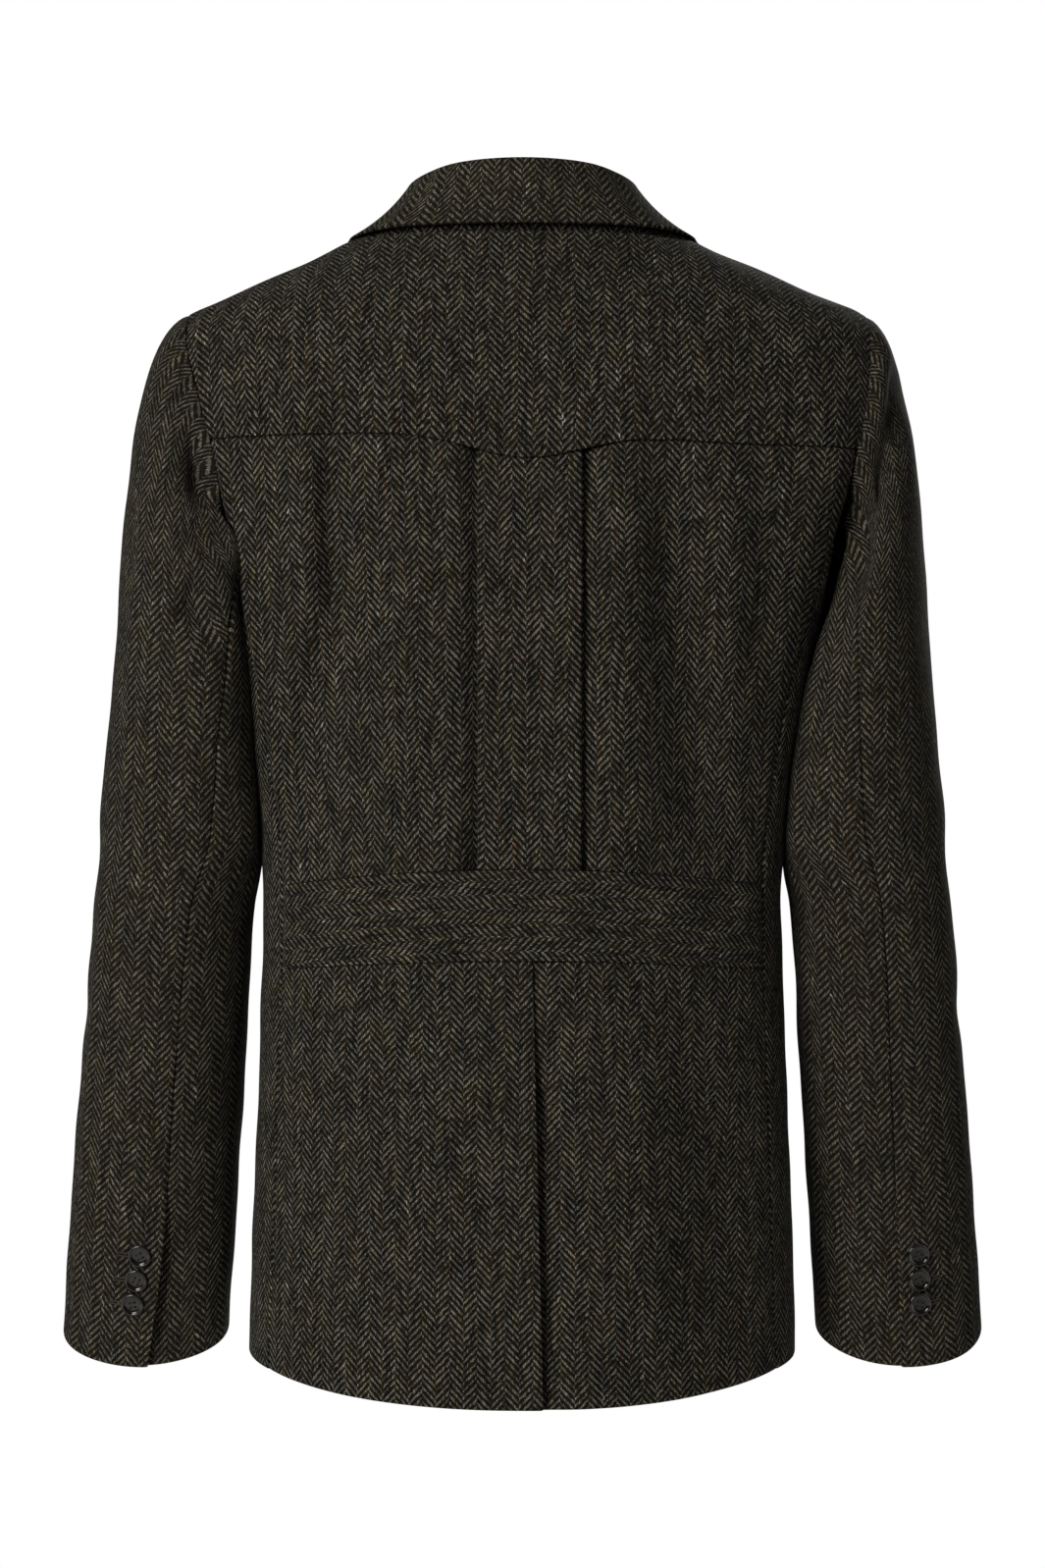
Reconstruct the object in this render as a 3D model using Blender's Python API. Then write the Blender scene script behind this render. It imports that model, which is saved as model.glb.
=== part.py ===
"""A blazer on an unseen figure: cloth walls and buttons.

Metres, +Z up. The back faces +Y, the front -Y, and the wearer's left is +X. The origin
is between the shoulders at the height of the nape, where the wearer holds the coat up.
"""

import math

import bpy
import numpy as np

CLOTH = 0.0018  # thickness of a plain cloth wall
PLEAT_CLOTH = 0.0014  # of the pleated back, so that three layers stay slim
BELT_CLOTH = 0.0026  # the belt is made double
ROLLED_CLOTH = 0.0016  # of lapels and collar
SEAM_GAP = 0.0003  # clear space between two pieces at a seam
ARMHOLE_GAP = 0.0010  # wider, as the sleeve bends round a seam of straight steps
LAP_DROP = 0.0024  # how far an underlap lies below the piece over it
UP = np.array([0.0, 0.0, 1.0])


class Table:
    """Rows of numbers with named columns, read as smooth curves over the first column."""

    def __init__(self, names, *rows):
        data = np.array(sorted(rows)).T
        self.along = data[0]
        self.columns = dict(zip(names.split(), data))

    def __call__(self, name, at):
        """A column's values at places along the first column, never past its own points."""
        x, y = self.along, self.columns[name]
        step = np.diff(x)
        rise = np.diff(y) / step
        turn = rise[:-1] * rise[1:]
        mean = 2 * turn / np.where(turn > 0, rise[:-1] + rise[1:], 1.0)
        slope = np.concatenate([rise[:1], np.where(turn > 0, mean, 0.0), rise[-1:]])
        at = np.asarray(at, float)
        i = np.clip(np.searchsorted(x, at) - 1, 0, len(step) - 1)
        t = np.clip((at - x[i]) / step[i], -0.5, 1.5)
        low = y[i] * (1 + 2 * t) + slope[i] * step[i] * t
        high = y[i + 1] * (3 - 2 * t) + slope[i + 1] * step[i] * (t - 1)
        return low * (1 - t) ** 2 + high * t**2


# Level rings of the body. Depths are from the shoulder line; square is 2 for an ellipse.
TORSO = Table(
    "height half_width back_depth front_depth square",
    (0.030, 0.050, 0.046, 0.018, 2.00),
    (0.012, 0.076, 0.056, 0.030, 2.00),
    (-0.014, 0.1238, 0.0695, 0.049, 2.00),
    (-0.030, 0.1590, 0.078, 0.059, 2.05),
    (-0.050, 0.2042, 0.0875, 0.0722, 2.10),
    (-0.056, 0.2180, 0.090, 0.076, 2.10),
    (-0.075, 0.243, 0.0975, 0.087, 2.15),
    (-0.105, 0.249, 0.1065, 0.101, 2.20),
    (-0.145, 0.2375, 0.1145, 0.116, 2.20),
    (-0.200, 0.2085, 0.1185, 0.128, 2.20),
    (-0.260, 0.191, 0.117, 0.132, 2.20),
    (-0.300, 0.184, 0.113, 0.1315, 2.20),
    (-0.360, 0.1745, 0.107, 0.127, 2.20),
    (-0.440, 0.1686, 0.1045, 0.122, 2.20),
    (-0.550, 0.1718, 0.112, 0.1225, 2.15),
    (-0.650, 0.1755, 0.121, 0.126, 2.10),
    (-0.760, 0.179, 0.131, 0.130, 2.10),
)
# Where the back and the front end at each side: armhole above the notches, seam below.
EDGES = Table(
    "height back front",
    (-0.056, 0.2180, 0.2180),
    (-0.075, 0.2182, 0.2125),
    (-0.105, 0.2135, 0.1985),
    (-0.145, 0.2050, 0.1845),
    (-0.200, 0.1945, 0.1775),
    (-0.260, 0.1790, 0.1720),
    (-0.330, 0.1640, 0.1600),
    (-0.430, 0.1530, 0.1515),
    (-0.550, 0.1555, 0.1520),
    (-0.760, 0.1620, 0.1570),
)
SHOULDER_TIP = -0.056  # heights
BACK_NOTCH, FRONT_NOTCH = -0.200, -0.215
UNDERARM_DIP = 0.056
NAPE, NECK_SIDE = 0.003, 0.012
YOKE_LINE, YOKE_WAVE, YOKE_WAVE_WIDTH = -0.1435, 0.0165, 0.052
BELT_TOP, BELT_BOTTOM = -0.4255, -0.4785  # at the side seams
BELT_TOP_RISE, BELT_BOTTOM_RISE = 0.0115, 0.0075  # at the centre back
HEM, HEM_BACK_DROP, HEM_FRONT_DROP = -0.7215, 0.0235, 0.0130
CENTRE_BACK = -0.0045  # the coat sits a little to the wearer's right
PLEAT_HALF, PLEAT_UNDERLAY, PLEAT_TURN = 0.0318, 0.018, 0.00095
PLEAT_TOP_LAYER, PLEAT_RAMP = -0.0002, 0.045
STRAIGHT_HALF = 0.072  # columns nearer the centre back run straight up and down
VENT_LEAN = 0.0065  # how far the vent's edge wanders to the wearer's right by the hem
VENT_UNDERLAP = 0.038
FRONT_OVERLAP = 0.018  # past the centre front
BREAK, ROLL_TOP_X = -0.360, 0.068  # the roll line runs from here to the side of the neck
GORGE_HEIGHT = -0.070
LAPEL_TIP = (0.137, -0.113)  # x, height
COLLAR_TIP = (0.117, -0.064)
GORGE_SHARE = 0.55  # of the lapel's top edge that the collar is sewn to

# Level sections of the sleeve below the armhole. seam_* are the hind-arm seam's angles
# from the outer side; the two sleeves are turned a little differently.
SLEEVE = Table(
    "height centre_x centre_y half_width half_depth back_drop seam_left seam_right",
    (-0.285, 0.2190, -0.004, 0.0472, 0.0760, 0.00, 122, 100),
    (-0.330, 0.2180, -0.001, 0.0522, 0.0680, 0.00, 117, 95),
    (-0.390, 0.2175, 0.000, 0.0574, 0.0600, 0.00, 111, 90),
    (-0.440, 0.2268, -0.002, 0.0527, 0.0550, 0.03, 107, 87),
    (-0.540, 0.2350, -0.012, 0.0537, 0.0480, 0.15, 102, 85),
    (-0.640, 0.2434, -0.026, 0.0547, 0.0435, 0.35, 98, 86),
    (-0.720, 0.2494, -0.036, 0.0548, 0.0415, 0.50, 95, 88),
)
SLEEVE_TOP, CUFF = -0.285, -0.720
SLEEVE_CLEAR, SLEEVE_SOFT = 0.0010, 0.0030  # room left to the body, roundness of the dent
FORE_SEAM = 246  # angle of the seam on the inner front of the arm
SLEEVE_LAP = 0.009  # the under sleeve runs this far below the top sleeve's edge
CUFF_BUTTONS = (-0.6675, -0.684, -0.700)  # heights
CUFF_BUTTON_IN, CUFF_BUTTON_RADIUS = 0.013, 0.0072  # from the hind-arm edge
FRONT_BUTTONS = (-0.372, -0.470)
FRONT_BUTTON_RADIUS = 0.0100

COLOURS = {  # one for each kind of piece
    "cloth": (0.10, 0.09, 0.075),
    "trim": (0.13, 0.12, 0.10),
    "horn": (0.05, 0.035, 0.025),
}


def unit(v):
    return v / np.linalg.norm(v, axis=-1, keepdims=True)


def smooth(x, low, high):
    """0 up to low, 1 from high on, and an even curve between."""
    t = np.clip((np.asarray(x) - low) / (high - low), 0, 1)
    return t * t * (3 - 2 * t)


def torso(angle, height):
    """A point on the body's outer face; angle is 0 at the centre back, 90 at the left side."""
    angle, height = np.broadcast_arrays(np.radians(angle), height)
    sine, cosine = np.sin(angle), np.cos(angle)
    power = 2 / TORSO("square", height)
    back, front = TORSO("back_depth", height), TORSO("front_depth", height)
    x = TORSO("half_width", height) * np.sign(sine) * np.abs(sine) ** power
    y = np.where(cosine > 0, back, front) * np.sign(cosine) * np.abs(cosine) ** power
    return np.stack([x, y, height], -1)


def normals(surface, first, second):
    """Normals of a parametric surface, on the outside where the first parameter turns clockwise."""
    step = 1e-4
    along = surface(first + 57 * step, second) - surface(first - 57 * step, second)
    upward = surface(first, second + step) - surface(first, second - step)
    return unit(np.cross(upward, along))


def torso_at(angle, height, out=0.0):
    """A point on the body, moved out along the face's normal."""
    angle, height = np.broadcast_arrays(np.asarray(angle, float), np.asarray(height, float))
    return torso(angle, height) + np.asarray(out)[..., None] * normals(torso, angle, height)


def angle_of(x, height, front=False):
    """The angle at which the body's ring has this x, behind or in front."""
    share = np.clip(np.abs(x) / TORSO("half_width", height), 0, 1)
    angle = np.degrees(np.arcsin(share ** (TORSO("square", height) / 2))) * np.sign(x)
    return 180 - angle if front else angle


def held_off(points, lift):
    """Moves points that are nearer the body than lift out to that distance."""
    x, y, z = points.T
    square = TORSO("square", z)
    depth = np.where(y > 0, TORSO("back_depth", z), TORSO("front_depth", z))
    across, behind = np.abs(x) / TORSO("half_width", z), np.abs(y) / depth
    ring = (across**square + behind**square) ** (1 / square)
    turn = np.arctan2(np.sign(x) * across ** (square / 2), np.sign(y) * behind ** (square / 2))
    face = normals(torso, np.degrees(turn), z)
    gap = (ring - 1) * np.hypot(x, y) * np.hypot(face[:, 0], face[:, 1])
    return points + np.maximum(0, lift - gap)[:, None] * face


def edge_angle(side, height):
    """The angle of the back's or front's outer edge: shoulder, armhole or side seam."""
    below = np.minimum(height, SHOULDER_TIP)
    angle = angle_of(EDGES(side, below), below, side == "front")
    return np.where(np.asarray(height) > SHOULDER_TIP, 90.0, angle)


def inset(grid, sides="udlr"):
    """Moves the grid's edges in by half a seam gap. Rows run up, columns run along."""
    grid = grid.copy()
    for side, edge, inner in (
        ("d", np.s_[0], np.s_[1]),
        ("u", np.s_[-1], np.s_[-2]),
        ("l", np.s_[:, 0], np.s_[:, 1]),
        ("r", np.s_[:, -1], np.s_[:, -2]),
    ):
        if side in sides:
            grid[edge] = grid[edge] + unit(grid[inner] - grid[edge]) * SEAM_GAP / 2
    return grid


def grid_normals(grid):
    """Normals of a grid of points, from its own rows and columns."""
    return unit(np.cross(np.gradient(grid, axis=0), np.gradient(grid, axis=1)))


def add_mesh(name, points, faces, colour):
    mesh = bpy.data.meshes.new(name)
    mesh.from_pydata([tuple(p) for p in points], [], faces)
    mesh.update()
    corners = [[points[i] for i in face] for face in faces]
    volume = sum(
        np.dot(c[0], np.cross(c[k], c[k + 1])) for c in corners for k in range(1, len(c) - 1)
    )
    if volume < 0:
        mesh.flip_normals()
    material = bpy.data.materials.new(name)
    material.use_nodes = True
    shader = material.node_tree.nodes["Principled BSDF"]
    shader.inputs["Base Color"].default_value = (*COLOURS[colour], 1)
    shader.inputs["Roughness"].default_value = 0.35 if colour == "horn" else 0.9
    mesh.materials.append(material)
    bpy.context.scene.collection.objects.link(bpy.data.objects.new(name, mesh))


def wall(name, outer, inner, colour="cloth"):
    """A closed wall between two grids of points."""
    rows, columns = outer.shape[:2]
    index = np.arange(rows * columns).reshape(rows, columns)
    rim = np.concatenate([index[0], index[1:, -1], index[-1, -2::-1], index[-2:0:-1, 0]])
    below = index + rows * columns
    faces = []
    for i in range(rows - 1):
        for j in range(columns - 1):
            a, b, c, d = index[i, j], index[i, j + 1], index[i + 1, j + 1], index[i + 1, j]
            rising = np.linalg.norm(outer[i, j] - outer[i + 1, j + 1])
            falling = np.linalg.norm(outer[i, j + 1] - outer[i + 1, j])
            for half in ((a, b, c), (a, c, d)) if rising < falling else ((a, b, d), (b, c, d)):
                faces.append(half)
                faces.append([below.flat[k] for k in reversed(half)])
    for here, after in zip(rim, np.roll(rim, -1)):
        faces.append([after, here, below.flat[here]])
        faces.append([after, below.flat[here], below.flat[after]])
    points = np.concatenate([outer.reshape(-1, 3), inner.reshape(-1, 3)])
    add_mesh(name, points, [[int(k) for k in face] for face in faces], colour)


def mirrored(grid):
    return grid * np.array([-1.0, 1.0, 1.0])


def body_wall(name, angle, height, out=0.0, thick=CLOTH, sides="udlr", colour="cloth"):
    """A wall on the body from grids of angles and heights."""
    outer = inset(torso_at(angle, height, out), sides)
    inner = inset(torso_at(angle, height, np.asarray(out) - thick), sides)
    wall(name, outer, inner, colour)


def yoke_line(x):
    """Height of the seam below the yoke."""
    return YOKE_LINE - YOKE_WAVE * np.exp(-(((x - CENTRE_BACK) / YOKE_WAVE_WIDTH) ** 2))


def belt_line(x, level, rise):
    """Height of a belt edge, which rises to the centre back."""
    return level + rise * (1 - (x / EDGES("back", level)) ** 2)


def back_columns():
    """x of the columns at the yoke's seam, with the pleat's two folds among them."""
    edge = EDGES("back", YOKE_LINE)
    pleat = CENTRE_BACK + PLEAT_HALF * np.linspace(-1, 1, 5)
    left = np.linspace(pleat[-1], edge, 10)[1:]
    right = np.linspace(-edge, pleat[0], 10)[:-1]
    return np.concatenate([right, pleat, left])


def spread(x, height):
    """Moves columns that stand x from the middle at the yoke to fit another level's edges."""
    straight = CENTRE_BACK + np.sign(x - CENTRE_BACK) * STRAIGHT_HALF
    edge = np.sign(x) * EDGES("back", YOKE_LINE)
    here = np.sign(x) * EDGES("back", height)
    share = (x - straight) / (edge - straight)
    return np.where(share > 0, straight + share * (here - straight), x)


def make_yoke():
    x = back_columns()
    share = angle_of(x, yoke_line(x)) / edge_angle("back", yoke_line(np.abs(x).max()))
    drop = np.linspace(1, 0, 8) ** 1.5 * (YOKE_LINE - SHOULDER_TIP)
    levels = np.append(SHOULDER_TIP + drop, [-0.044, -0.031, -0.018, -0.006])
    fade = 1 - smooth(levels, YOKE_LINE, -0.085)
    height = levels[:, None] + fade[:, None] * (yoke_line(x) - YOKE_LINE)
    angle = share * edge_angle("back", levels)[:, None]
    neck = NAPE + (NECK_SIDE - NAPE) * np.sin(np.radians(90 * share)) ** 2
    body_wall("back_yoke", np.vstack([angle, 90 * share]), np.vstack([height, neck]))


def pleat_half(side):
    """(distance from the middle, height off the body) along one half of the pleated wall."""
    top, turn = PLEAT_TOP_LAYER - PLEAT_CLOTH / 2, PLEAT_TURN
    bottom = top - 4 * turn
    inner_fold = PLEAT_HALF - PLEAT_UNDERLAY
    outer_fold = PLEAT_HALF - turn
    box = [(s * outer_fold, top) for s in (0.0, 0.5, 0.85)]
    half_turn = np.radians([90, 30, -30, -90])
    over = [(outer_fold + turn * math.cos(t), top - turn + turn * math.sin(t)) for t in half_turn]
    under = [
        (inner_fold - turn * math.cos(t), bottom + turn + turn * math.sin(t)) for t in half_turn
    ]
    column = np.sort(side * (back_columns() - CENTRE_BACK))
    rest = -PLEAT_CLOTH / 2
    reach = [PLEAT_HALF - 0.004, PLEAT_HALF + 0.006, *column[column > PLEAT_HALF + 0.012]]
    rise = smooth(np.array(reach), PLEAT_HALF, PLEAT_HALF + PLEAT_RAMP)
    tail = list(zip(reach, bottom + (rest - bottom) * rise))
    return np.array(box + over + under + tail)


def pleat_section():
    """The whole pleated section: middle line and its two faces, as (x, height off body)."""
    left, right = pleat_half(1), pleat_half(-1) * [-1, 1]
    middle = np.concatenate([right[:0:-1], left])
    along = unit(np.gradient(middle, axis=0))
    across = np.stack([-along[:, 1], along[:, 0]], -1) * PLEAT_CLOTH / 2
    return middle + across, middle - across


def make_back_panel():
    notch = (BACK_NOTCH - BELT_TOP) / (YOKE_LINE - BELT_TOP)
    rows = np.append(np.linspace(0, notch, 8), [(1 + notch) / 2, 1.0])[:, None]
    faces = []
    for section in pleat_section():
        reference = CENTRE_BACK + section[:, 0]
        low = belt_line(spread(reference, BELT_TOP), BELT_TOP, BELT_TOP_RISE)
        height = low + rows * (yoke_line(reference) - low)
        x = spread(reference[None, :], height)
        off = np.broadcast_to(section[:, 1], x.shape)
        faces.append(inset(torso_at(angle_of(x, height), height, off)))
    wall("back_panel", *faces)


def make_belt():
    x = back_columns()
    rows = np.linspace(0, 1, 3)[:, None]
    low = belt_line(spread(x, BELT_BOTTOM), BELT_BOTTOM, BELT_BOTTOM_RISE)
    high = belt_line(spread(x, BELT_TOP), BELT_TOP, BELT_TOP_RISE)
    height = low + rows * (high - low)
    angle = angle_of(spread(x[None, :], height), height)
    body_wall("back_belt", angle, height, 0.0006, BELT_CLOTH, colour="trim")


def skirt_rows():
    """Shares of the way from the hem up to the belt."""
    return np.linspace(0, 1, 9)


def hem_drop(angle):
    """How far the hem hangs below its height at the side."""
    cosine = np.cos(np.radians(angle))
    return np.where(cosine > 0, HEM_BACK_DROP, HEM_FRONT_DROP) * np.abs(cosine)


def skirt_height(angle, row):
    """Height on the back skirts, a row's share of the way up from the hem."""
    x = torso(angle, BELT_BOTTOM)[..., 0]
    low = HEM - hem_drop(angle)
    return low + row * (belt_line(x, BELT_BOTTOM, BELT_BOTTOM_RISE) - low)


def vent_x(row):
    """x of the vent's visible edge."""
    return CENTRE_BACK - 0.002 - VENT_LEAN * (1 - row)


def make_skirt(name, side):
    rows = skirt_rows()[:, None]
    across = np.linspace(0, 1, 10)[None, :]
    nominal = HEM + rows * (BELT_BOTTOM - HEM)
    edge = side * EDGES("back", nominal)
    x = vent_x(rows) + across * (edge - vent_x(rows))
    off = np.zeros_like(x)
    if side < 0:
        inward = np.array([1.0, 0.5, 0.02]) * VENT_UNDERLAP
        under = vent_x(rows) + inward[None, :]
        dip = -LAP_DROP * (1 - smooth(vent_x(rows) - x, 0.001, 0.020))
        x = np.hstack([under, x[:, 1:]])
        off = np.hstack([np.full_like(under, -LAP_DROP), dip[:, 1:]])
    angle = angle_of(x, nominal)
    body_wall(name, angle, skirt_height(angle, rows), off)


def seam_heights(side):
    """Heights of the side panel's rows at its back or front seam, hem to armhole."""
    skirt = HEM - hem_drop(edge_angle(side, HEM)) * (1 - skirt_rows())
    skirt = skirt + skirt_rows() * (BELT_BOTTOM - HEM)
    belt = [(BELT_BOTTOM + BELT_TOP) / 2]
    notch = BACK_NOTCH if side == "back" else FRONT_NOTCH
    return np.concatenate([skirt, belt, np.linspace(BELT_TOP, notch, 8)])


def underarm(share):
    """(angle, height) on the armhole below the notches, from the back one to the front one."""
    start, end = edge_angle("back", BACK_NOTCH), edge_angle("front", FRONT_NOTCH)
    level = BACK_NOTCH + share * (FRONT_NOTCH - BACK_NOTCH)
    return start + share * (end - start), level - UNDERARM_DIP * np.sin(np.pi * share) ** 0.7


def side_grid():
    share = np.linspace(0, 1, 9)[None, :]
    back, front = seam_heights("back")[:, None], seam_heights("front")[:, None]
    level = back + share * (front - back)
    sag = underarm(share)[1] - level[-1]
    height = level + sag * smooth(level, -0.42, BACK_NOTCH) ** 1.5
    start, end = edge_angle("back", back), edge_angle("front", front)
    return start + share * (end - start), height


def roll_x(height):
    """x of the left front's inner edge: the closing edge, and the roll line above it."""
    top_share = (height - BREAK) / (NECK_SIDE - BREAK)
    roll = -FRONT_OVERLAP + top_share * (ROLL_TOP_X + FRONT_OVERLAP)
    cutaway = 0.040 * smooth(-np.asarray(height), 0.56, 0.75)
    return np.where(top_share > 0, roll, -FRONT_OVERLAP + cutaway)


def front_grid():
    armhole = SHOULDER_TIP + np.linspace(1, 0, 8)[1:] ** 1.5 * (FRONT_NOTCH - SHOULDER_TIP)
    shoulder = np.linspace(SHOULDER_TIP, NECK_SIDE - 0.004, 5)[1:]
    level = np.concatenate([seam_heights("front"), armhole, shoulder])[:, None]
    across = np.linspace(0, 1, 12)[None, :]
    corner = 0.060 * (1 - np.sqrt(1 - np.clip((across - 0.6) / 0.4, 0, 1) ** 2))
    height = level + corner * (1 - smooth(level, HEM - HEM_FRONT_DROP, -0.58))
    start = edge_angle("front", level)
    end = angle_of(roll_x(height), height, front=True)
    return start + across * (end - start), height


def make_front(name, side):
    angle, height = front_grid()
    off = np.zeros_like(angle)
    if side < 0:
        x = torso(angle, height)[..., 0]
        off = -LAP_DROP * (1 - smooth(x, 0.030, 0.055)) * (1 - smooth(height, -0.25, -0.20))
    outer = inset(torso_at(angle, height, off))
    inner = inset(torso_at(angle, height, off - CLOTH))
    if side < 0:
        outer, inner = mirrored(outer), mirrored(inner)
    wall(name, outer, inner)


def on_front(x, height, off):
    """A point on the left front's face, moved out."""
    return torso_at(angle_of(x, height, front=True), height, off)


def lapel_edge(share):
    """(x, height) of the lapel's outer edge, from the break up to its tip."""
    x = roll_x(BREAK) + (LAPEL_TIP[0] - roll_x(BREAK)) * share
    bow = 0.012 * np.sin(np.pi * share)
    return x + bow, BREAK + (LAPEL_TIP[1] - BREAK) * share - 0.4 * bow


# The lapel across its roll: distance from the roll line, height off the front.
ROLL = ((-0.0019, -0.0008), (-0.0042, 0.0016), (-0.0030, 0.0044), (0.0010, 0.0056))


def lapel_middle(first):
    """The lapel's middle sheet, from a share of the way up its roll line to the gorge."""
    up = np.linspace(first, 1, 12)
    low = BREAK + up * (GORGE_HEIGHT - BREAK)
    roll = np.stack([roll_x(low), low], -1)
    edge = np.stack(lapel_edge(up), -1)
    width = np.linalg.norm(edge - roll, axis=-1)[:, None]
    away = (edge - roll) / width
    share = np.array([0.2, 0.4, 0.6, 0.8, 1.0])
    beyond = np.maximum(width * share, ROLL[-1][0] + 0.0015 * np.arange(1, 6))
    across = np.hstack([np.tile([d for d, _ in ROLL], (len(up), 1)), beyond])
    lift = np.append([h for _, h in ROLL], 0.0056 - 0.0032 * smooth(share, 0, 1))
    place = roll[:, None, :] + away[:, None, :] * across[..., None]
    return on_front(place[..., 0], place[..., 1], np.broadcast_to(lift, across.shape))


def folded_wall(name, middle, thick, sides, colour="cloth"):
    """A wall on both sides of a middle sheet."""
    middle = inset(middle, sides)
    half = grid_normals(middle) * thick / 2
    wall(name, middle + half, middle - half, colour)


def make_lapel(name, side):
    middle = lapel_middle(0.03 if side > 0 else 0.36)
    folded_wall(name, middle if side > 0 else mirrored(middle), ROLLED_CLOTH, "u")


# The collar's stand and fall at the centre back, the side of the neck and the gorge.
# Positions run 0 to 2; rise and lean place the fold above the neck seam.
COLLAR = Table(
    "position rise lean sag edge_x edge_height",
    (0.0, 0.0312, 0.0005, 0.0000, 0.0, -0.0088),
    (0.5, 0.0222, -0.0030, 0.0015, 0.0, -0.0088),
    (1.0, 0.0120, -0.0055, 0.0030, 0.1150, -0.0088),
    (1.5, 0.0110, -0.0030, 0.0015, 0.1200, -0.0360),
    (2.0, 0.0064, 0.0000, 0.0000, *COLLAR_TIP),
)
COLLAR_LIFT = 0.0026  # of the fall's middle over the yoke
COLLAR_TURN = 1.125  # position at which the sewn edge turns from the neck to the roll line
COLLAR_DESCENT = GORGE_HEIGHT + 0.0035 - NECK_SIDE
COLLAR_INSIDE = 0.0022  # of the front's edge


def neck_point(position):
    """The collar's sewn edge: along the neck seam, then down the roll line."""
    angle = 90 * min(position, 1.0)
    if position <= 1:
        neck = NAPE + (NECK_SIDE - NAPE) * math.sin(math.radians(angle)) ** 2
        return torso_at(angle, neck, -CLOTH / 2) + UP * 0.0014
    down = NECK_SIDE + max(0.0, position - COLLAR_TURN) / (2 - COLLAR_TURN) * COLLAR_DESCENT
    at_roll = roll_x(down) - COLLAR_INSIDE
    at_shoulder = TORSO("half_width", NECK_SIDE)
    share = min(1.0, (position - 1) / (COLLAR_TURN - 1))
    x = at_shoulder + share * (at_roll - at_shoulder)
    return on_front(x, down, 0.0) + UP * 0.0014 * (2 - position)


def collar_edge(position):
    """The fall's free edge."""
    height = COLLAR("edge_height", position)
    if position <= 1:
        return torso_at(90 * position, height, COLLAR_LIFT)
    x = min(COLLAR("edge_x", position), TORSO("half_width", height))
    return on_front(x, height, COLLAR_LIFT)


def gorge_end(share):
    """A place on the collar's front end: along the gorge to the notch, then up to its tip."""
    gorge_start = np.array([float(roll_x(GORGE_HEIGHT)), GORGE_HEIGHT])
    notch = gorge_start + GORGE_SHARE * (np.array(LAPEL_TIP) - gorge_start)
    turn = 0.66
    if share < turn:
        place = gorge_start + share / turn * (notch - gorge_start)
    else:
        place = notch + (share - turn) / (1 - turn) * (np.array(COLLAR_TIP) - notch)
    lift = 0.0056 - 0.0030 * float(smooth(share, 0, 0.7))
    return on_front(place[0], place[1], lift)


def collar_section(position):
    """Points up the stand, over the fold and down the fall."""
    neck, edge = neck_point(position), collar_edge(position)
    ahead = smooth(position, 0.9, 2.0)
    up = unit((1 - ahead) * UP + ahead * np.array([0.1, -0.9, 0.4]))
    away = edge - neck
    away = unit(away - up * np.dot(away, up))
    radius = 0.0030 - 0.0008 * ahead
    rise = float(COLLAR("rise", position)) - radius
    centre = neck + up * rise + away * (float(COLLAR("lean", position)) + radius)
    turn = np.radians([170, 130, 90, 50, 15])
    fold = [centre + radius * (away * math.cos(t) + up * math.sin(t)) for t in turn]
    stand = [neck + (fold[0] - neck) * t for t in (0.0, 0.35, 0.7)]
    sag = float(COLLAR("sag", position)) * unit(-up - away)
    shares = (0.18, 0.36, 0.52, 0.66, 0.83, 1.0)
    fall = [fold[-1] + (edge - fold[-1]) * t + sag * 4 * t * (1 - t) for t in shares]
    fall = held_off(np.array(fall), COLLAR_LIFT)
    ends = np.array([gorge_end(t) for t in shares])
    fall = fall + smooth(position, 1.55, 2.0) * (ends - fall)
    return np.concatenate([stand, fold, fall])


def make_collar():
    places = np.concatenate([np.linspace(0, 1, 7), np.linspace(1, 2, 9)[1:]])
    half = np.stack([collar_section(p) for p in places])
    middle = np.concatenate([mirrored(half[:0:-1]), half])
    folded_wall("collar", middle, ROLLED_CLOTH, "ud")


def armhole_line():
    """The left armhole's seam from the shoulder tip down the back and up the front."""
    down = SHOULDER_TIP + (BACK_NOTCH - SHOULDER_TIP) * np.linspace(0, 1, 40) ** 1.6
    back = torso(edge_angle("back", down), down)
    below = torso(*underarm(np.linspace(0, 1, 40)[1:]))
    rise = SHOULDER_TIP + (FRONT_NOTCH - SHOULDER_TIP) * np.linspace(1, 0, 40)[1:] ** 1.6
    front = torso(edge_angle("front", rise), rise)
    return np.concatenate([back, below, front])


def armhole(angle):
    """The armhole's point for a sleeve angle: 0 at the shoulder tip, 90 behind, 180 below."""
    line = armhole_line()
    length = np.append(0, np.cumsum(np.linalg.norm(np.diff(line, axis=0), axis=1)))
    lowest = length[np.argmin(line[:, 2])]
    share = np.mod(angle, 360) / 180
    place = np.where(share < 1, share * lowest, lowest + (share - 1) * (length[-1] - lowest))
    return np.stack([np.interp(place, length, line[:, k]) for k in range(3)], -1)


def body_side(y, height):
    """How far the body reaches sideways at this depth."""
    depth = np.where(y > 0, TORSO("back_depth", height), TORSO("front_depth", height))
    square = TORSO("square", height)
    left = np.clip(1 - np.abs(y / depth) ** square, 1e-6, 1)
    return TORSO("half_width", height) * left ** (1 / square)


def sleeve_ring(angle, height):
    """A point on the sleeve below the armhole, its inner side pressed against the body."""
    turn = np.radians(angle)
    x = SLEEVE("centre_x", height) + SLEEVE("half_width", height) * np.cos(turn)
    across = SLEEVE("half_depth", height) * np.sin(turn)
    y = SLEEVE("centre_y", height) + across
    press = (body_side(y, height) + SLEEVE_CLEAR - x) / SLEEVE_SOFT
    x = x + SLEEVE_SOFT * np.logaddexp(0, press)
    drop = SLEEVE("back_drop", height) * across
    return np.stack([x, y, height - drop], -1)


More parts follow.
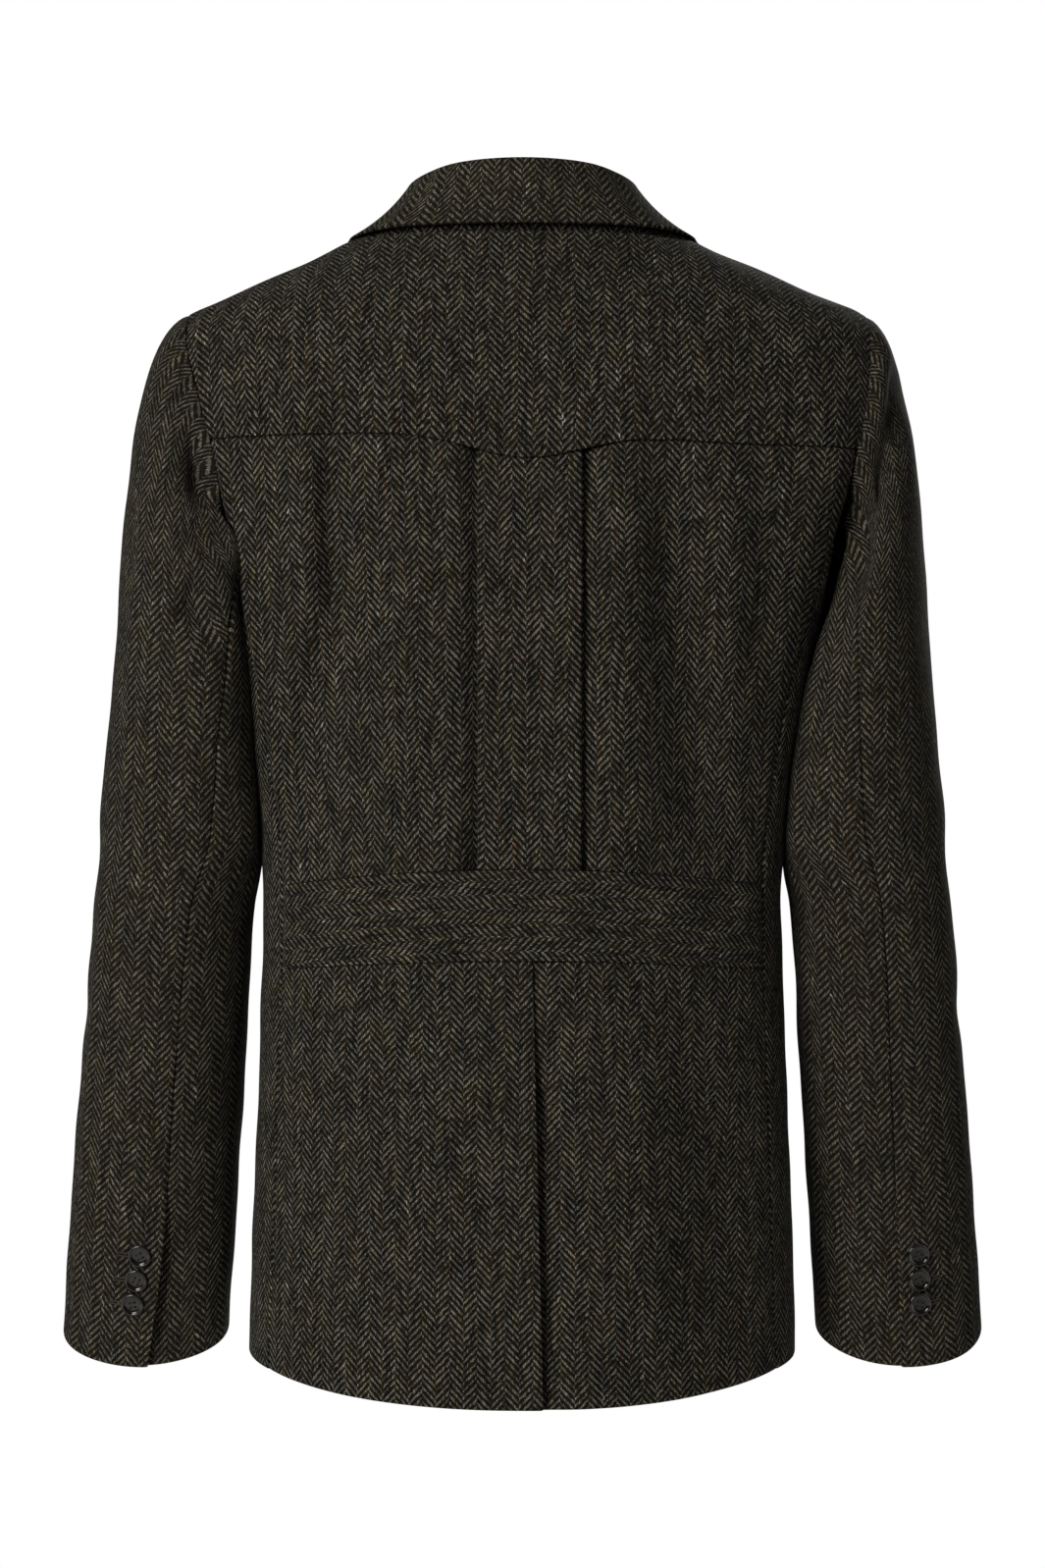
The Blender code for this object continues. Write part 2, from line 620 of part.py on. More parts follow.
def sleeve(angle, place):
    """A point on the left sleeve. place is 1 at the armhole, 0 at its foot, -1 at the cuff."""
    angle, place = np.broadcast_arrays(np.asarray(angle, float), np.asarray(place, float))
    turn = np.radians(angle)
    below = sleeve_ring(angle, SLEEVE_TOP + np.minimum(place, 0) * (SLEEVE_TOP - CUFF))
    leave = [0.75 + 0.2 * np.cos(turn), 0.42 * np.sin(turn), -0.55 + 0.28 * np.cos(turn)]
    leave = unit(np.stack(leave, -1))
    start = armhole(angle) + leave * ARMHOLE_GAP
    end = sleeve_ring(angle, np.full_like(place, SLEEVE_TOP))
    arrive = unit(np.stack([0.074 + 0 * turn, 0 * turn, -1 + 0 * turn], -1))
    reach = np.linalg.norm(end - start, axis=-1)[..., None]
    s = np.clip(1 - place, 0, 1)[..., None]
    cap = start * (1 + 2 * s) * (1 - s) ** 2 + end * s * s * (3 - 2 * s)
    cap = cap + reach * (0.5 * leave * s * (1 - s) ** 2 - 1.07 * arrive * s * s * (1 - s))
    x, y, z = np.moveaxis(cap, -1, 0)
    push = SLEEVE_SOFT * np.logaddexp(0, (body_side(y, z) + SLEEVE_CLEAR - x) / SLEEVE_SOFT)
    cap[..., 0] += push * smooth(-z, -BACK_NOTCH - 0.006, -BACK_NOTCH + 0.012)
    return np.where(place[..., None] > 0, cap, below)


def sleeve_at(angle, place, out):
    """A point on the sleeve, moved out along its face's normal."""
    angle, place = np.broadcast_arrays(angle, place)
    inside = np.clip(place, -0.9995, 0.9995)
    return sleeve(angle, place) - np.asarray(out)[..., None] * normals(sleeve, angle, inside)


def sleeve_rows():
    cap = np.array([1.0, 0.93, 0.85, 0.74, 0.6, 0.42, 0.22])
    return np.concatenate([cap, -np.linspace(0, 1, 12) ** 1.25])[::-1, None]


def hind_seam(side, place):
    height = SLEEVE_TOP + np.minimum(place, 0) * (SLEEVE_TOP - CUFF)
    top = SLEEVE("seam_left" if side > 0 else "seam_right", height)
    return top + 4 * np.maximum(place, 0)


def sleeve_wall(name, angle, off, side, sides):
    place = sleeve_rows()
    outer = inset(sleeve_at(angle, place, off), sides)
    inner = inset(sleeve_at(angle, place, off - CLOTH), sides)
    if side < 0:
        outer, inner = mirrored(outer), mirrored(inner)
    wall(name, outer, inner)


def make_sleeve(name, side):
    place = sleeve_rows()
    seam = hind_seam(side, place)
    lap = np.degrees(SLEEVE_LAP / 0.050)
    top_share = np.linspace(0, 1, 13)[None, :]
    top = np.hstack([FORE_SEAM - 360 + top_share * (seam - lap - FORE_SEAM + 360), seam])
    sleeve_wall(f"sleeve_{name}_top", top, np.zeros_like(top), side, "ulr")
    under_share = np.linspace(0, 1, 8)[None, :]
    under = seam + under_share * (FORE_SEAM - seam)
    under = np.hstack([seam - lap, seam, under[:, 1:]])
    dip = np.array([-LAP_DROP, -LAP_DROP] + [0.0] * 7)
    sleeve_wall(f"sleeve_{name}_under", under, np.tile(dip, (len(place), 1)), side, "ur")


def make_button(name, centre, out, radius):
    """A dished round button with a raised rim, standing just off the cloth."""
    profile = ((0.72, 0.0), (1.0, 0.0010), (1.0, 0.0021), (0.87, 0.0029), (0.70, 0.0021))
    segments = 16
    side = unit(np.cross(out, UP))
    other = np.cross(out, side)
    base = centre + out * SEAM_GAP
    points = [base]
    for share, lift in profile:
        for k in range(segments):
            turn = 2 * math.pi * k / segments
            around = side * math.cos(turn) + other * math.sin(turn)
            points.append(base + around * radius * share + out * lift)
    points.append(base + out * profile[-1][1])
    faces = []
    last = len(points) - 1
    for k in range(segments):
        after = (k + 1) % segments
        faces.append([0, 1 + after, 1 + k])
        faces.append([last, last - segments + k, last - segments + after])
        for ring in range(len(profile) - 1):
            low = 1 + ring * segments
            high = low + segments
            faces.append([low + k, low + after, high + after, high + k])
    add_mesh(name, np.array(points), faces, "horn")


def make_cuff_buttons(name, side):
    for number, height in enumerate(CUFF_BUTTONS, 1):
        place = (height - SLEEVE_TOP) / (SLEEVE_TOP - CUFF)
        angle = hind_seam(side, place) - np.degrees(CUFF_BUTTON_IN / 0.053)
        drop = SLEEVE("back_drop", height) * SLEEVE("half_depth", height)
        place = place + drop / (SLEEVE_TOP - CUFF)
        centre = sleeve(angle, place)
        out = -normals(sleeve, angle, place)
        if side < 0:
            centre, out = mirrored(centre), mirrored(out)
        lift = 0.0002
        make_button(f"sleeve_button_{name}_{number}", centre + out * lift, out, CUFF_BUTTON_RADIUS)


def make_front_buttons():
    for number, height in enumerate(FRONT_BUTTONS, 1):
        centre = on_front(1e-6, height, 0.0002)
        out = unit(on_front(1e-6, height, 0.01) - centre)
        make_button(f"front_button_{number}", centre, out, FRONT_BUTTON_RADIUS)


def build():
    for old in list(bpy.data.objects):
        bpy.data.objects.remove(old)
    make_yoke()
    make_back_panel()
    make_belt()
    angle, height = side_grid()
    for name, side in (("left", 1), ("right", -1)):
        make_skirt(f"back_skirt_{name}", side)
        body_wall(f"side_{name}", side * angle, height)
        make_front(f"front_{name}", side)
        make_lapel(f"lapel_{name}", side)
        make_sleeve(name, side)
        make_cuff_buttons(name, side)
    make_collar()
    make_front_buttons()


build()
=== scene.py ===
"""Looks of the blazer: fine cloth shells on the solids' forms, weave, sewing, light and camera.

Metres and degrees, +Z up. The back faces +Y and the camera, and the wearer's left is +X, the
picture's left. A side is 1 on the wearer's left and -1 on the right.
"""

import functools
import math

import bpy
import numpy as np
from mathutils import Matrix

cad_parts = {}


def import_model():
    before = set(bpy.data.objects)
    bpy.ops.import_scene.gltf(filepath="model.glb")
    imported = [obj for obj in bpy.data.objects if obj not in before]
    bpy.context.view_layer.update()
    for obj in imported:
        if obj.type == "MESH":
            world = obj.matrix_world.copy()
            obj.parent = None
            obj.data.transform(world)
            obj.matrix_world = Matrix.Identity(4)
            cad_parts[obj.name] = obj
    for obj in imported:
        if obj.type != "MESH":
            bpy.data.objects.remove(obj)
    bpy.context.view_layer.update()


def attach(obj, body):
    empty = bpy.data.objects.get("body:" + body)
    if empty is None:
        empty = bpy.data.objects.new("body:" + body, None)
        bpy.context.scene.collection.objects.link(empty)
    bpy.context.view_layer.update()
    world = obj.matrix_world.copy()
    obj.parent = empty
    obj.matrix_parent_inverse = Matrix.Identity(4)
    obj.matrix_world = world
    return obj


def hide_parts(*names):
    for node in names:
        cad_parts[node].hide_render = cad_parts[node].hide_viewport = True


UP = np.array([0.0, 0.0, 1.0])
SIDES = (("left", 1), ("right", -1))

CLOTH = 0.0018  # thickness of a plain cloth shell
PLEAT_CLOTH = 0.0014
BELT_CLOTH = 0.0026
ROLLED_CLOTH = 0.0016  # of lapels and collar

STEP = 0.0036  # spacing of a shell's points
EDGE_STEPS = (0.0, 0.0008, 0.0018, 0.0032)  # closer points beside every edge
RIM_TURNS = (60, 30, 0, -30, -60)  # places round a shell's edge
RIM_SQUARE = 0.45  # 1 makes that edge half round
SEAM_GAP = 0.0003
SEAM_SINK, SEAM_WIDTH = 0.0010, 0.0022  # how the cloth rolls into a seam
SEAM_RIDGE, SEAM_RIDGE_AT = 0.45, 2.6  # how it stands up beside it: shares of that depth and width
SEAM_LAP = np.array([-0.0030, -0.0016, -0.0004, 0.0006, 0.0016])  # points of an edge under another
SEAM_TUCK, SEAM_TUCK_SPAN = 0.0021, (-0.0004, 0.0014)  # how deep it runs, and where it goes down
RING_POINTS, CLIMB_POINTS = 49, 33  # for lengths along and up the body
CLIMB_EDGE = 0.995  # share of the half width that it stays within
CLIMB_FROM = -0.17  # height from which the shoulders' slope lengthens the way up

PERIOD = 0.0172  # of the herringbone, two columns
ENDS = 16  # warp threads in a period
PITCH = 0.00466  # of the twill lines, up the cloth
YOKE_WEAVE, SKIRT_WEAVE, BELT_WEAVE = (0.0180, 0.0050), (PERIOD, 0.0044), (0.0176, 0.0043)
SLEEVE_WEAVE, COLLAR_WEAVE = (0.0182, 0.0049), (0.0180, 0.0044)


class Table:
    """Rows of numbers with named columns, read as smooth curves over the first column."""

    def __init__(self, names, *rows):
        data = np.array(sorted(rows)).T
        self.along = data[0]
        self.columns = dict(zip(names.split(), data))

    def __call__(self, name, at):
        """A column's values at places along the first column, never past its own points."""
        x, y = self.along, self.columns[name]
        step = np.diff(x)
        rise = np.diff(y) / step
        turn = rise[:-1] * rise[1:]
        mean = 2 * turn / np.where(turn > 0, rise[:-1] + rise[1:], 1.0)
        slope = np.concatenate([rise[:1], np.where(turn > 0, mean, 0.0), rise[-1:]])
        at = np.asarray(at, float)
        i = np.clip(np.searchsorted(x, at) - 1, 0, len(step) - 1)
        t = np.clip((at - x[i]) / step[i], -0.5, 1.5)
        low = y[i] * (1 + 2 * t) + slope[i] * step[i] * t
        high = y[i + 1] * (3 - 2 * t) + slope[i + 1] * step[i] * (t - 1)
        return low * (1 - t) ** 2 + high * t**2


# Level rings of the body. Depths are from the shoulder line; square is 2 for an ellipse.
TORSO = Table(
    "height half_width back_depth front_depth square",
    (0.030, 0.050, 0.046, 0.018, 2.00),
    (0.012, 0.076, 0.056, 0.030, 2.00),
    (-0.014, 0.1238, 0.0695, 0.049, 2.00),
    (-0.030, 0.1590, 0.078, 0.059, 2.05),
    (-0.050, 0.2042, 0.0875, 0.0722, 2.10),
    (-0.056, 0.2180, 0.090, 0.076, 2.10),
    (-0.075, 0.243, 0.0975, 0.087, 2.15),
    (-0.105, 0.249, 0.1065, 0.101, 2.20),
    (-0.145, 0.2375, 0.1145, 0.116, 2.20),
    (-0.200, 0.2085, 0.1185, 0.128, 2.20),
    (-0.260, 0.191, 0.117, 0.132, 2.20),
    (-0.300, 0.184, 0.113, 0.1315, 2.20),
    (-0.360, 0.1745, 0.107, 0.127, 2.20),
    (-0.440, 0.1686, 0.1045, 0.122, 2.20),
    (-0.550, 0.1718, 0.112, 0.1225, 2.15),
    (-0.650, 0.1755, 0.121, 0.126, 2.10),
    (-0.760, 0.179, 0.131, 0.130, 2.10),
)
# Where the back and the front end at each side: armhole above the notches, seam below.
EDGES = Table(
    "height back front",
    (-0.056, 0.2180, 0.2180),
    (-0.075, 0.2182, 0.2125),
    (-0.105, 0.2135, 0.1985),
    (-0.145, 0.2050, 0.1845),
    (-0.200, 0.1945, 0.1775),
    (-0.260, 0.1790, 0.1720),
    (-0.330, 0.1640, 0.1600),
    (-0.430, 0.1530, 0.1515),
    (-0.550, 0.1555, 0.1520),
    (-0.760, 0.1620, 0.1570),
)
SHOULDER_TIP = -0.056  # heights
BACK_NOTCH, FRONT_NOTCH = -0.200, -0.215
NAPE, NECK_SIDE = 0.003, 0.012
HEM, HEM_BACK_DROP, HEM_FRONT_DROP = -0.7215, 0.0235, 0.0130
CENTRE_BACK = -0.0045  # the coat sits a little to the wearer's right
LAP_DROP = 0.0024  # how far an underlap lies below the piece over it

# Soft folds of the back and the front: x and height at both ends, how far the fold spreads
# towards larger x and towards smaller x, and its height, below the cloth where negative.
BACK_FOLDS = (
    (0.1195, -0.144, 0.1185, -0.272, 0.0085, 0.020, -0.0145),
    (0.1240, -0.258, 0.1460, -0.376, 0.010, 0.022, -0.0130),
    (0.0980, -0.165, 0.0960, -0.300, 0.012, 0.012, 0.0014),
    (0.0740, -0.240, 0.0860, -0.395, 0.016, 0.016, 0.0030),
    (0.1400, -0.160, 0.1400, -0.280, 0.014, 0.008, 0.0030),
    (-0.0660, -0.150, -0.0710, -0.420, 0.034, 0.016, 0.0040),
    (-0.0875, -0.144, -0.0980, -0.290, 0.017, 0.026, -0.0100),
    (-0.0960, -0.250, -0.1175, -0.425, 0.022, 0.030, -0.0115),
    (-0.1300, -0.165, -0.1340, -0.360, 0.013, 0.013, 0.0025),
    (-0.1480, -0.145, -0.1500, -0.300, 0.012, 0.012, -0.0030),
    (-0.1980, -0.135, -0.1800, -0.255, 0.020, 0.010, 0.0080),
    (0.1980, -0.130, 0.1780, -0.330, 0.010, 0.018, 0.0022),
    (-0.1820, -0.230, -0.1660, -0.410, 0.018, 0.010, 0.0075),
    (0.0980, -0.500, 0.1080, -0.640, 0.020, 0.020, 0.0025),
    (0.0760, -0.500, 0.0800, -0.640, 0.010, 0.010, -0.0018),
    (0.1280, -0.560, 0.1340, -0.735, 0.016, 0.016, -0.0026),
    (-0.0660, -0.495, -0.0840, -0.735, 0.040, 0.016, 0.0045),
    (-0.1140, -0.495, -0.1320, -0.740, 0.026, 0.024, -0.0085),
    (0.1200, -0.065, 0.1500, -0.110, 0.016, 0.016, -0.0014),
    (-0.1180, -0.070, -0.1550, -0.118, 0.018, 0.018, -0.0016),
)
FRONT_FOLDS = (
    (0.120, -0.240, 0.080, -0.350, 0.014, 0.014, -0.0020),
    (-0.126, -0.250, -0.090, -0.360, 0.013, 0.013, -0.0018),
    (0.040, -0.385, 0.110, -0.425, 0.012, 0.012, -0.0016),
    (-0.045, -0.380, -0.120, -0.430, 0.014, 0.014, -0.0018),
    (0.090, -0.520, 0.098, -0.720, 0.018, 0.018, -0.0020),
    (-0.080, -0.540, -0.092, -0.715, 0.019, 0.019, -0.0018),
    (0.135, -0.110, 0.150, -0.185, 0.013, 0.013, -0.0014),
    (-0.140, -0.105, -0.150, -0.190, 0.015, 0.015, -0.0015),
)
# Soft folds of the sleeves: the same, with the angle round the arm for x, for the left
# sleeve (1), the right (-1) or both (0).
SLEEVE_FOLDS = (
    (110, -0.120, 127, -0.345, 0.024, 0.022, 0.0105, 1),
    (74, -0.132, 104, -0.190, 0.009, 0.012, -0.0165, 1),
    (88, -0.196, 116, -0.214, 0.009, 0.011, -0.0070, 1),
    (92, -0.232, 116, -0.272, 0.010, 0.013, -0.0130, 1),
    (114, -0.188, 124, -0.236, 0.012, 0.012, 0.0050, 1),
    (128, -0.372, 96, -0.402, 0.012, 0.012, -0.0026, 1),
    (104, -0.590, 150, -0.600, 0.009, 0.009, -0.0024, 1),
    (34, -0.082, 62, -0.136, 0.009, 0.009, 0.0030, -1),
    (102, -0.168, 124, -0.300, 0.020, 0.016, -0.0085, -1),
    (24, -0.090, 61, -0.146, 0.009, 0.016, -0.0105, -1),
    (55, -0.139, 90, -0.190, 0.011, 0.017, -0.0125, -1),
    (84, -0.182, 116, -0.240, 0.010, 0.014, -0.0050, -1),
    (118, -0.285, 74, -0.235, 0.012, 0.012, 0.0022, -1),
    (140, -0.420, 84, -0.452, 0.013, 0.013, -0.0020, -1),
    (-60, -0.390, 10, -0.420, 0.014, 0.014, -0.0022, 0),
    (-70, -0.440, -5, -0.462, 0.012, 0.012, -0.0024, 0),
    (-40, -0.500, 30, -0.515, 0.015, 0.015, -0.0014, 0),
    (60, -0.560, 100, -0.585, 0.016, 0.016, -0.0012, 0),
)
FOLD_STARTS, FOLD_ENDS = (-0.15, 0.35), (0.65, 1.15)  # shares of a fold over which it fades
FOLD_DEPTH = 0.05  # distance behind or before the shoulder line at which folds are full
RIPPLE = 0.00016  # height of each wave of the cloth's unevenness
RIPPLE_SHIFT = 0.3  # which makes the two sleeves differ
RIPPLE_WAVES = ((71, 38, 0.3), (-46, 83, 1.7), (118, -29, 4.1), (33, 127, 2.6), (-97, -64, 5.2))
SWAY = 0.0078  # how far the armhole seams behind lie to the wearer's right of an even coat's
SWAY_X, SWAY_HEIGHT, SWAY_LENGTH = 0.20, -0.150, 0.10
SWAY_IN, SWAY_OUT = 0.050, 0.035  # over which it fades towards the spine and the arm
SWAY_DEPTH = 0.03  # so far behind the shoulder line it is full, and so far before it there is none


def unit(v):
    return v / np.linalg.norm(v, axis=-1, keepdims=True)


def smooth(x, low, high):
    """0 up to low, 1 from high on, and an even curve between."""
    t = np.clip((np.asarray(x) - low) / (high - low), 0, 1)
    return t * t * (3 - 2 * t)


def bell(x, width):
    """1 at 0, falling to nothing on both sides within about two widths."""
    return np.exp(-((x / width) ** 2))


def mirrored(grid):
    return grid * np.array([-1.0, 1.0, 1.0])


def normals(surface, first, second):
    """Normals of a parametric surface, on the outside where the first parameter turns clockwise."""
    step = 1e-4
    turn = 57 * step  # about as far, as the first parameter is in degrees
    along = surface(first + turn, second) - surface(first - turn, second)
    upward = surface(first, second + step) - surface(first, second - step)
    return unit(np.cross(upward, along))


def ring_depth(behind, height):
    return np.where(behind, TORSO("back_depth", height), TORSO("front_depth", height))


def torso(angle, height):
    """A point on the body's outer face; angle is 0 at the centre back, 90 at the left side."""
    angle, height = np.broadcast_arrays(np.radians(angle), height)
    sine, cosine = np.sin(angle), np.cos(angle)
    power = 2 / TORSO("square", height)
    x = TORSO("half_width", height) * np.sign(sine) * np.abs(sine) ** power
    y = ring_depth(cosine > 0, height) * np.sign(cosine) * np.abs(cosine) ** power
    return np.stack([x, y, height], -1)


def torso_at(angle, height, out=0.0):
    """A point on the body, moved out along the face's normal."""
    angle, height = np.broadcast_arrays(np.asarray(angle, float), np.asarray(height, float))
    return torso(angle, height) + np.asarray(out)[..., None] * normals(torso, angle, height)


def angle_of(x, height, front=False):
    """The angle at which the body's ring has this x, behind or in front."""
    share = np.clip(np.abs(x) / TORSO("half_width", height), 0, 1)
    angle = np.degrees(np.arcsin(share ** (TORSO("square", height) / 2))) * np.sign(x)
    return 180 - angle if front else angle


def on_front(x, height, off):
    """A point on the left front's face, moved out."""
    return torso_at(angle_of(x, height, front=True), height, off)


def held_off(points, lift):
    """Moves points that are nearer the body than lift out to that distance."""
    x, y, z = points.T
    square = TORSO("square", z)
    across, behind = np.abs(x) / TORSO("half_width", z), np.abs(y) / ring_depth(y > 0, z)
    ring = (across**square + behind**square) ** (1 / square)
    turn = np.arctan2(np.sign(x) * across ** (square / 2), np.sign(y) * behind ** (square / 2))
    face = normals(torso, np.degrees(turn), z)
    gap = (ring - 1) * np.hypot(x, y) * np.hypot(face[:, 0], face[:, 1])
    return points + np.maximum(0, lift - gap)[:, None] * face


def edge_angle(side, height):
    """The angle of the back's or front's outer edge: shoulder, armhole or side seam."""
    below = np.minimum(height, SHOULDER_TIP)
    angle = angle_of(EDGES(side, below), below, side == "front")
    return np.where(np.asarray(height) > SHOULDER_TIP, 90.0, angle)


def neck_height(angle):
    """Height of the neck seam, from the nape at 0 to the side of the neck at 90."""
    return NAPE + (NECK_SIDE - NAPE) * np.sin(np.radians(angle)) ** 2


def stations(length, thick=CLOTH, step=STEP):
    """Shares of a length, closer together beside both ends and half the cloth short of them."""
    near = np.array(EDGE_STEPS) + (thick + SEAM_GAP) / 2
    count = max(2, round((length - 2 * near[-1]) / step) + 1)
    middle = np.linspace(near[-1], length - near[-1], count)
    return np.concatenate([near[:-1], middle, length - near[-2::-1]]) / length


def run_along(grid, axis):
    """Length along one direction of a grid of points, from its first row or column."""
    step = np.linalg.norm(np.diff(grid, axis=axis), axis=-1)
    start = np.zeros_like(np.take(step, [0], axis))
    return np.concatenate([start, np.cumsum(step, axis)], axis)


def seam_sink(grid, sides, depth=SEAM_SINK, width=SEAM_WIDTH):
    """How far the cloth sinks into the seams on the named sides (u, d, l, r) of its grid."""
    sink = np.zeros(grid.shape[:2])
    for side in sides:
        axis = 0 if side in "ud" else 1
        run = run_along(grid, axis)
        if side in "ur":
            run = np.take(run, [-1], axis) - run
        sink = sink + (bell(run, width) - SEAM_RIDGE * bell(run / width - SEAM_RIDGE_AT, 1))
    return depth * sink


def lapped(length):
    """Shares of a length whose two ends run on under the neighbours."""
    middle = stations(length)[len(EDGE_STEPS):-len(EDGE_STEPS)]
    return np.concatenate([SEAM_LAP / length, middle, 1 - SEAM_LAP[::-1] / length])


def lap_drop(inside):
    """How far an edge lies below its seam at a distance inside it."""
    return SEAM_TUCK * (1 - smooth(inside, *SEAM_TUCK_SPAN))


def folds(rows, across, along):
    """Height of a table's soft folds at places given in its own two coordinates."""
    total = np.zeros(np.shape(across))
    for start, low, end, high, before, after, depth in rows:
        run = np.array([end - start, high - low])
        t = ((across - start) * run[0] + (along - low) * run[1]) / np.dot(run, run)
        t = np.clip(t, 0, 1)
        aside, above = across - start - t * run[0], along - low - t * run[1]
        width = np.where(aside > 0, before, after)
        fade = smooth(t, *FOLD_STARTS) * (1 - smooth(t, *FOLD_ENDS))
        total = total + depth * fade * np.exp(-(aside**2 + above**2) / width**2)
    return total


def ripple(a, b):
    """A faint unevenness of the cloth, under a millimetre."""
    return RIPPLE * sum(np.sin(p * a + q * b + shift) for p, q, shift in RIPPLE_WAVES)


def body_folds(points):
    """How far the folds move points on the body, straight back or straight forward."""
    x, y, z = np.moveaxis(points, -1, 0)
    behind = smooth(y, 0.0, FOLD_DEPTH) * folds(BACK_FOLDS, x, z)
    before = smooth(-y, 0.0, FOLD_DEPTH) * folds(FRONT_FOLDS, x, z)
    return (behind - before)[..., None] * np.array([0.0, 1.0, 0.0])


def swayed(points):
    """Moves the cloth round the armholes behind sideways, as the coat hangs turned a little."""
    x, y, z = np.moveaxis(points, -1, 0)
    aside = np.abs(x) - SWAY_X
    near = bell(aside, np.where(aside > 0, SWAY_OUT, SWAY_IN))
    near = near * bell(z - SWAY_HEIGHT, SWAY_LENGTH) * smooth(y, -SWAY_DEPTH, SWAY_DEPTH)
    return points - SWAY * near[..., None] * np.array([1.0, 0.0, 0.0])


def ring_run(angle, height):
    """Length along the body's level ring from the centre back to an angle."""
    share = np.linspace(0, 1, RING_POINTS)
    points = torso(angle[..., None] * share, height[..., None])
    return np.sign(angle) * np.linalg.norm(np.diff(points, axis=-2), axis=-1).sum(-1)


def climb(points):
    """Length up the body at a constant x, which the slope of the shoulders makes longer."""
    x, y, z = np.moveaxis(points, -1, 0)
    share = np.linspace(0, 1, CLIMB_POINTS)
    level = CLIMB_FROM + share * np.maximum(z - CLIMB_FROM, 0)[..., None]
    side = np.clip(np.abs(x)[..., None] / TORSO("half_width", level), 0, CLIMB_EDGE)
    square = TORSO("square", level)
    depth = ring_depth(y.mean() > 0, level) * (1 - side**square) ** (1 / square)
    rise = np.hypot(np.diff(depth, axis=-1), np.diff(level, axis=-1)).sum(-1)
    return np.minimum(z, CLIMB_FROM) + rise


BORDERS = (  # a grid's first and last rows and columns, each with its neighbour
    (np.s_[0], np.s_[1]),
    (np.s_[-1], np.s_[-2]),
    (np.s_[:, 0], np.s_[:, 1]),
    (np.s_[:, -1], np.s_[:, -2]),
)


def outward(grid):
    """Directions out of a grid at its border, in the plane of the cloth."""
    away = np.zeros_like(grid)
    for edge, beside in BORDERS:
        away[edge] += unit(grid[edge] - grid[beside])
    return away


def runs_on(grid, weave):
    """How the weave changes with the length past a grid's border."""
    slope = np.zeros_like(weave)
    for edge, beside in BORDERS:
        length = np.linalg.norm(grid[edge] - grid[beside], axis=-1, keepdims=True)
        slope[edge] = (weave[edge] - weave[beside]) / length
    return slope


def trimmed(grid, by, sides):
    """Draws the named sides (d, u, l, r) of a coarse grid in by a length."""
    grid = grid.copy()
    for side, (edge, beside) in zip("dulr", BORDERS):
        if side in sides:
            grid[edge] = grid[edge] + unit(grid[beside] - grid[edge]) * by
    return grid


def finer(grid, factor, axis):
    """A grid with more rows or columns, on smooth curves through the ones it has."""
    points = np.moveaxis(grid, axis, 0)
    before, after = 2 * points[:1] - points[1:2], 2 * points[-1:] - points[-2:-1]
    longer = np.concatenate([before, points, after])
    at = np.linspace(0, len(points) - 1, (len(points) - 1) * factor + 1)
    i = np.minimum(at.astype(int), len(points) - 2)
    t = (at - i).reshape(-1, *[1] * (points.ndim - 1))
    a, b, c, d = (longer[i + k] for k in range(4))
    curve = b + 0.5 * t * (c - a + t * (2 * a - 5 * b + 4 * c - d + t * (3 * (b - c) + d - a)))
    return np.moveaxis(curve, 0, axis)


def signed_volume(points, quads):
    a, b, c, d = (points[quads[:, k]] for k in range(4))
    return (np.cross(a, b) * c).sum() + (np.cross(a, c) * d).sum()


def linked(name, data):
    """A new object in the scene."""
    item = bpy.data.objects.new(name, data)
    bpy.context.scene.collection.objects.link(item)
    return item


def mesh_object(name, points, faces, material):
    mesh = bpy.data.meshes.new(name)
    mesh.from_pydata(points.tolist(), [], faces.tolist())
    mesh.polygons.foreach_set("use_smooth", np.ones(len(faces), bool))
    mesh.materials.append(material)
    mesh.update()
    return linked(name, mesh)


def rim_rings(outer, inner, weave, rim):
    """Rings of points round a shell's edge, from outside to inside, and their weave."""
    face, back, threads = (grid.reshape(-1, 3)[rim] for grid in (outer, inner, weave))
    half = (face - back) / 2
    reach = np.linalg.norm(half, axis=-1)[:, None]
    away = unit(outward(outer).reshape(-1, 3)[rim]) * reach
    past = runs_on(outer, weave).reshape(-1, 3)[rim] * reach
    rings, ring_threads = [], []
    for turn in np.radians(RIM_TURNS):
        out = np.cos(turn) ** RIM_SQUARE
        up = np.sign(turn) * np.abs(np.sin(turn)) ** RIM_SQUARE
        rings.append((face + back) / 2 + away * out + half * up)
        ring_threads.append(threads + past * out)
    return rings, ring_threads


def shell(name, outer, inner, weave, material):
    """A closed cloth shell between two grids, with a round edge and its weave's coordinates."""
    outer, inner = swayed(outer), swayed(inner)
    index = np.arange(outer[..., 0].size).reshape(outer.shape[:2])
    count = index.size
    front = [index[:-1, :-1], index[:-1, 1:], index[1:, 1:], index[1:, :-1]]
    front = np.stack(front, -1).reshape(-1, 4)
    rim = np.concatenate([index[0], index[1:, -1], index[-1, -2::-1], index[-2:0:-1, 0]])
    rings, ring_threads = rim_rings(outer, inner, weave, rim)
    points = np.concatenate([outer.reshape(-1, 3), inner.reshape(-1, 3), *rings])
    threads = np.concatenate([weave.reshape(-1, 3), weave.reshape(-1, 3), *ring_threads])
    ring_index = 2 * count + np.arange(len(rings) * len(rim)).reshape(len(rings), -1)
    loops = [rim, *ring_index, rim + count]
    faces = [front, front[:, ::-1] + count]
    for high, low in zip(loops, loops[1:]):
        faces.append(np.stack([np.roll(high, -1), high, low, np.roll(low, -1)], -1))
    faces = np.concatenate(faces)
    if signed_volume(points, faces) < 0:
        faces = faces[:, ::-1]
    piece = mesh_object(name + "_cloth", points, faces, material)
    data = piece.data.attributes.new("weave", "FLOAT_VECTOR", "POINT")
    data.data.foreach_set("vector", threads.ravel())
    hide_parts(name)
    return piece


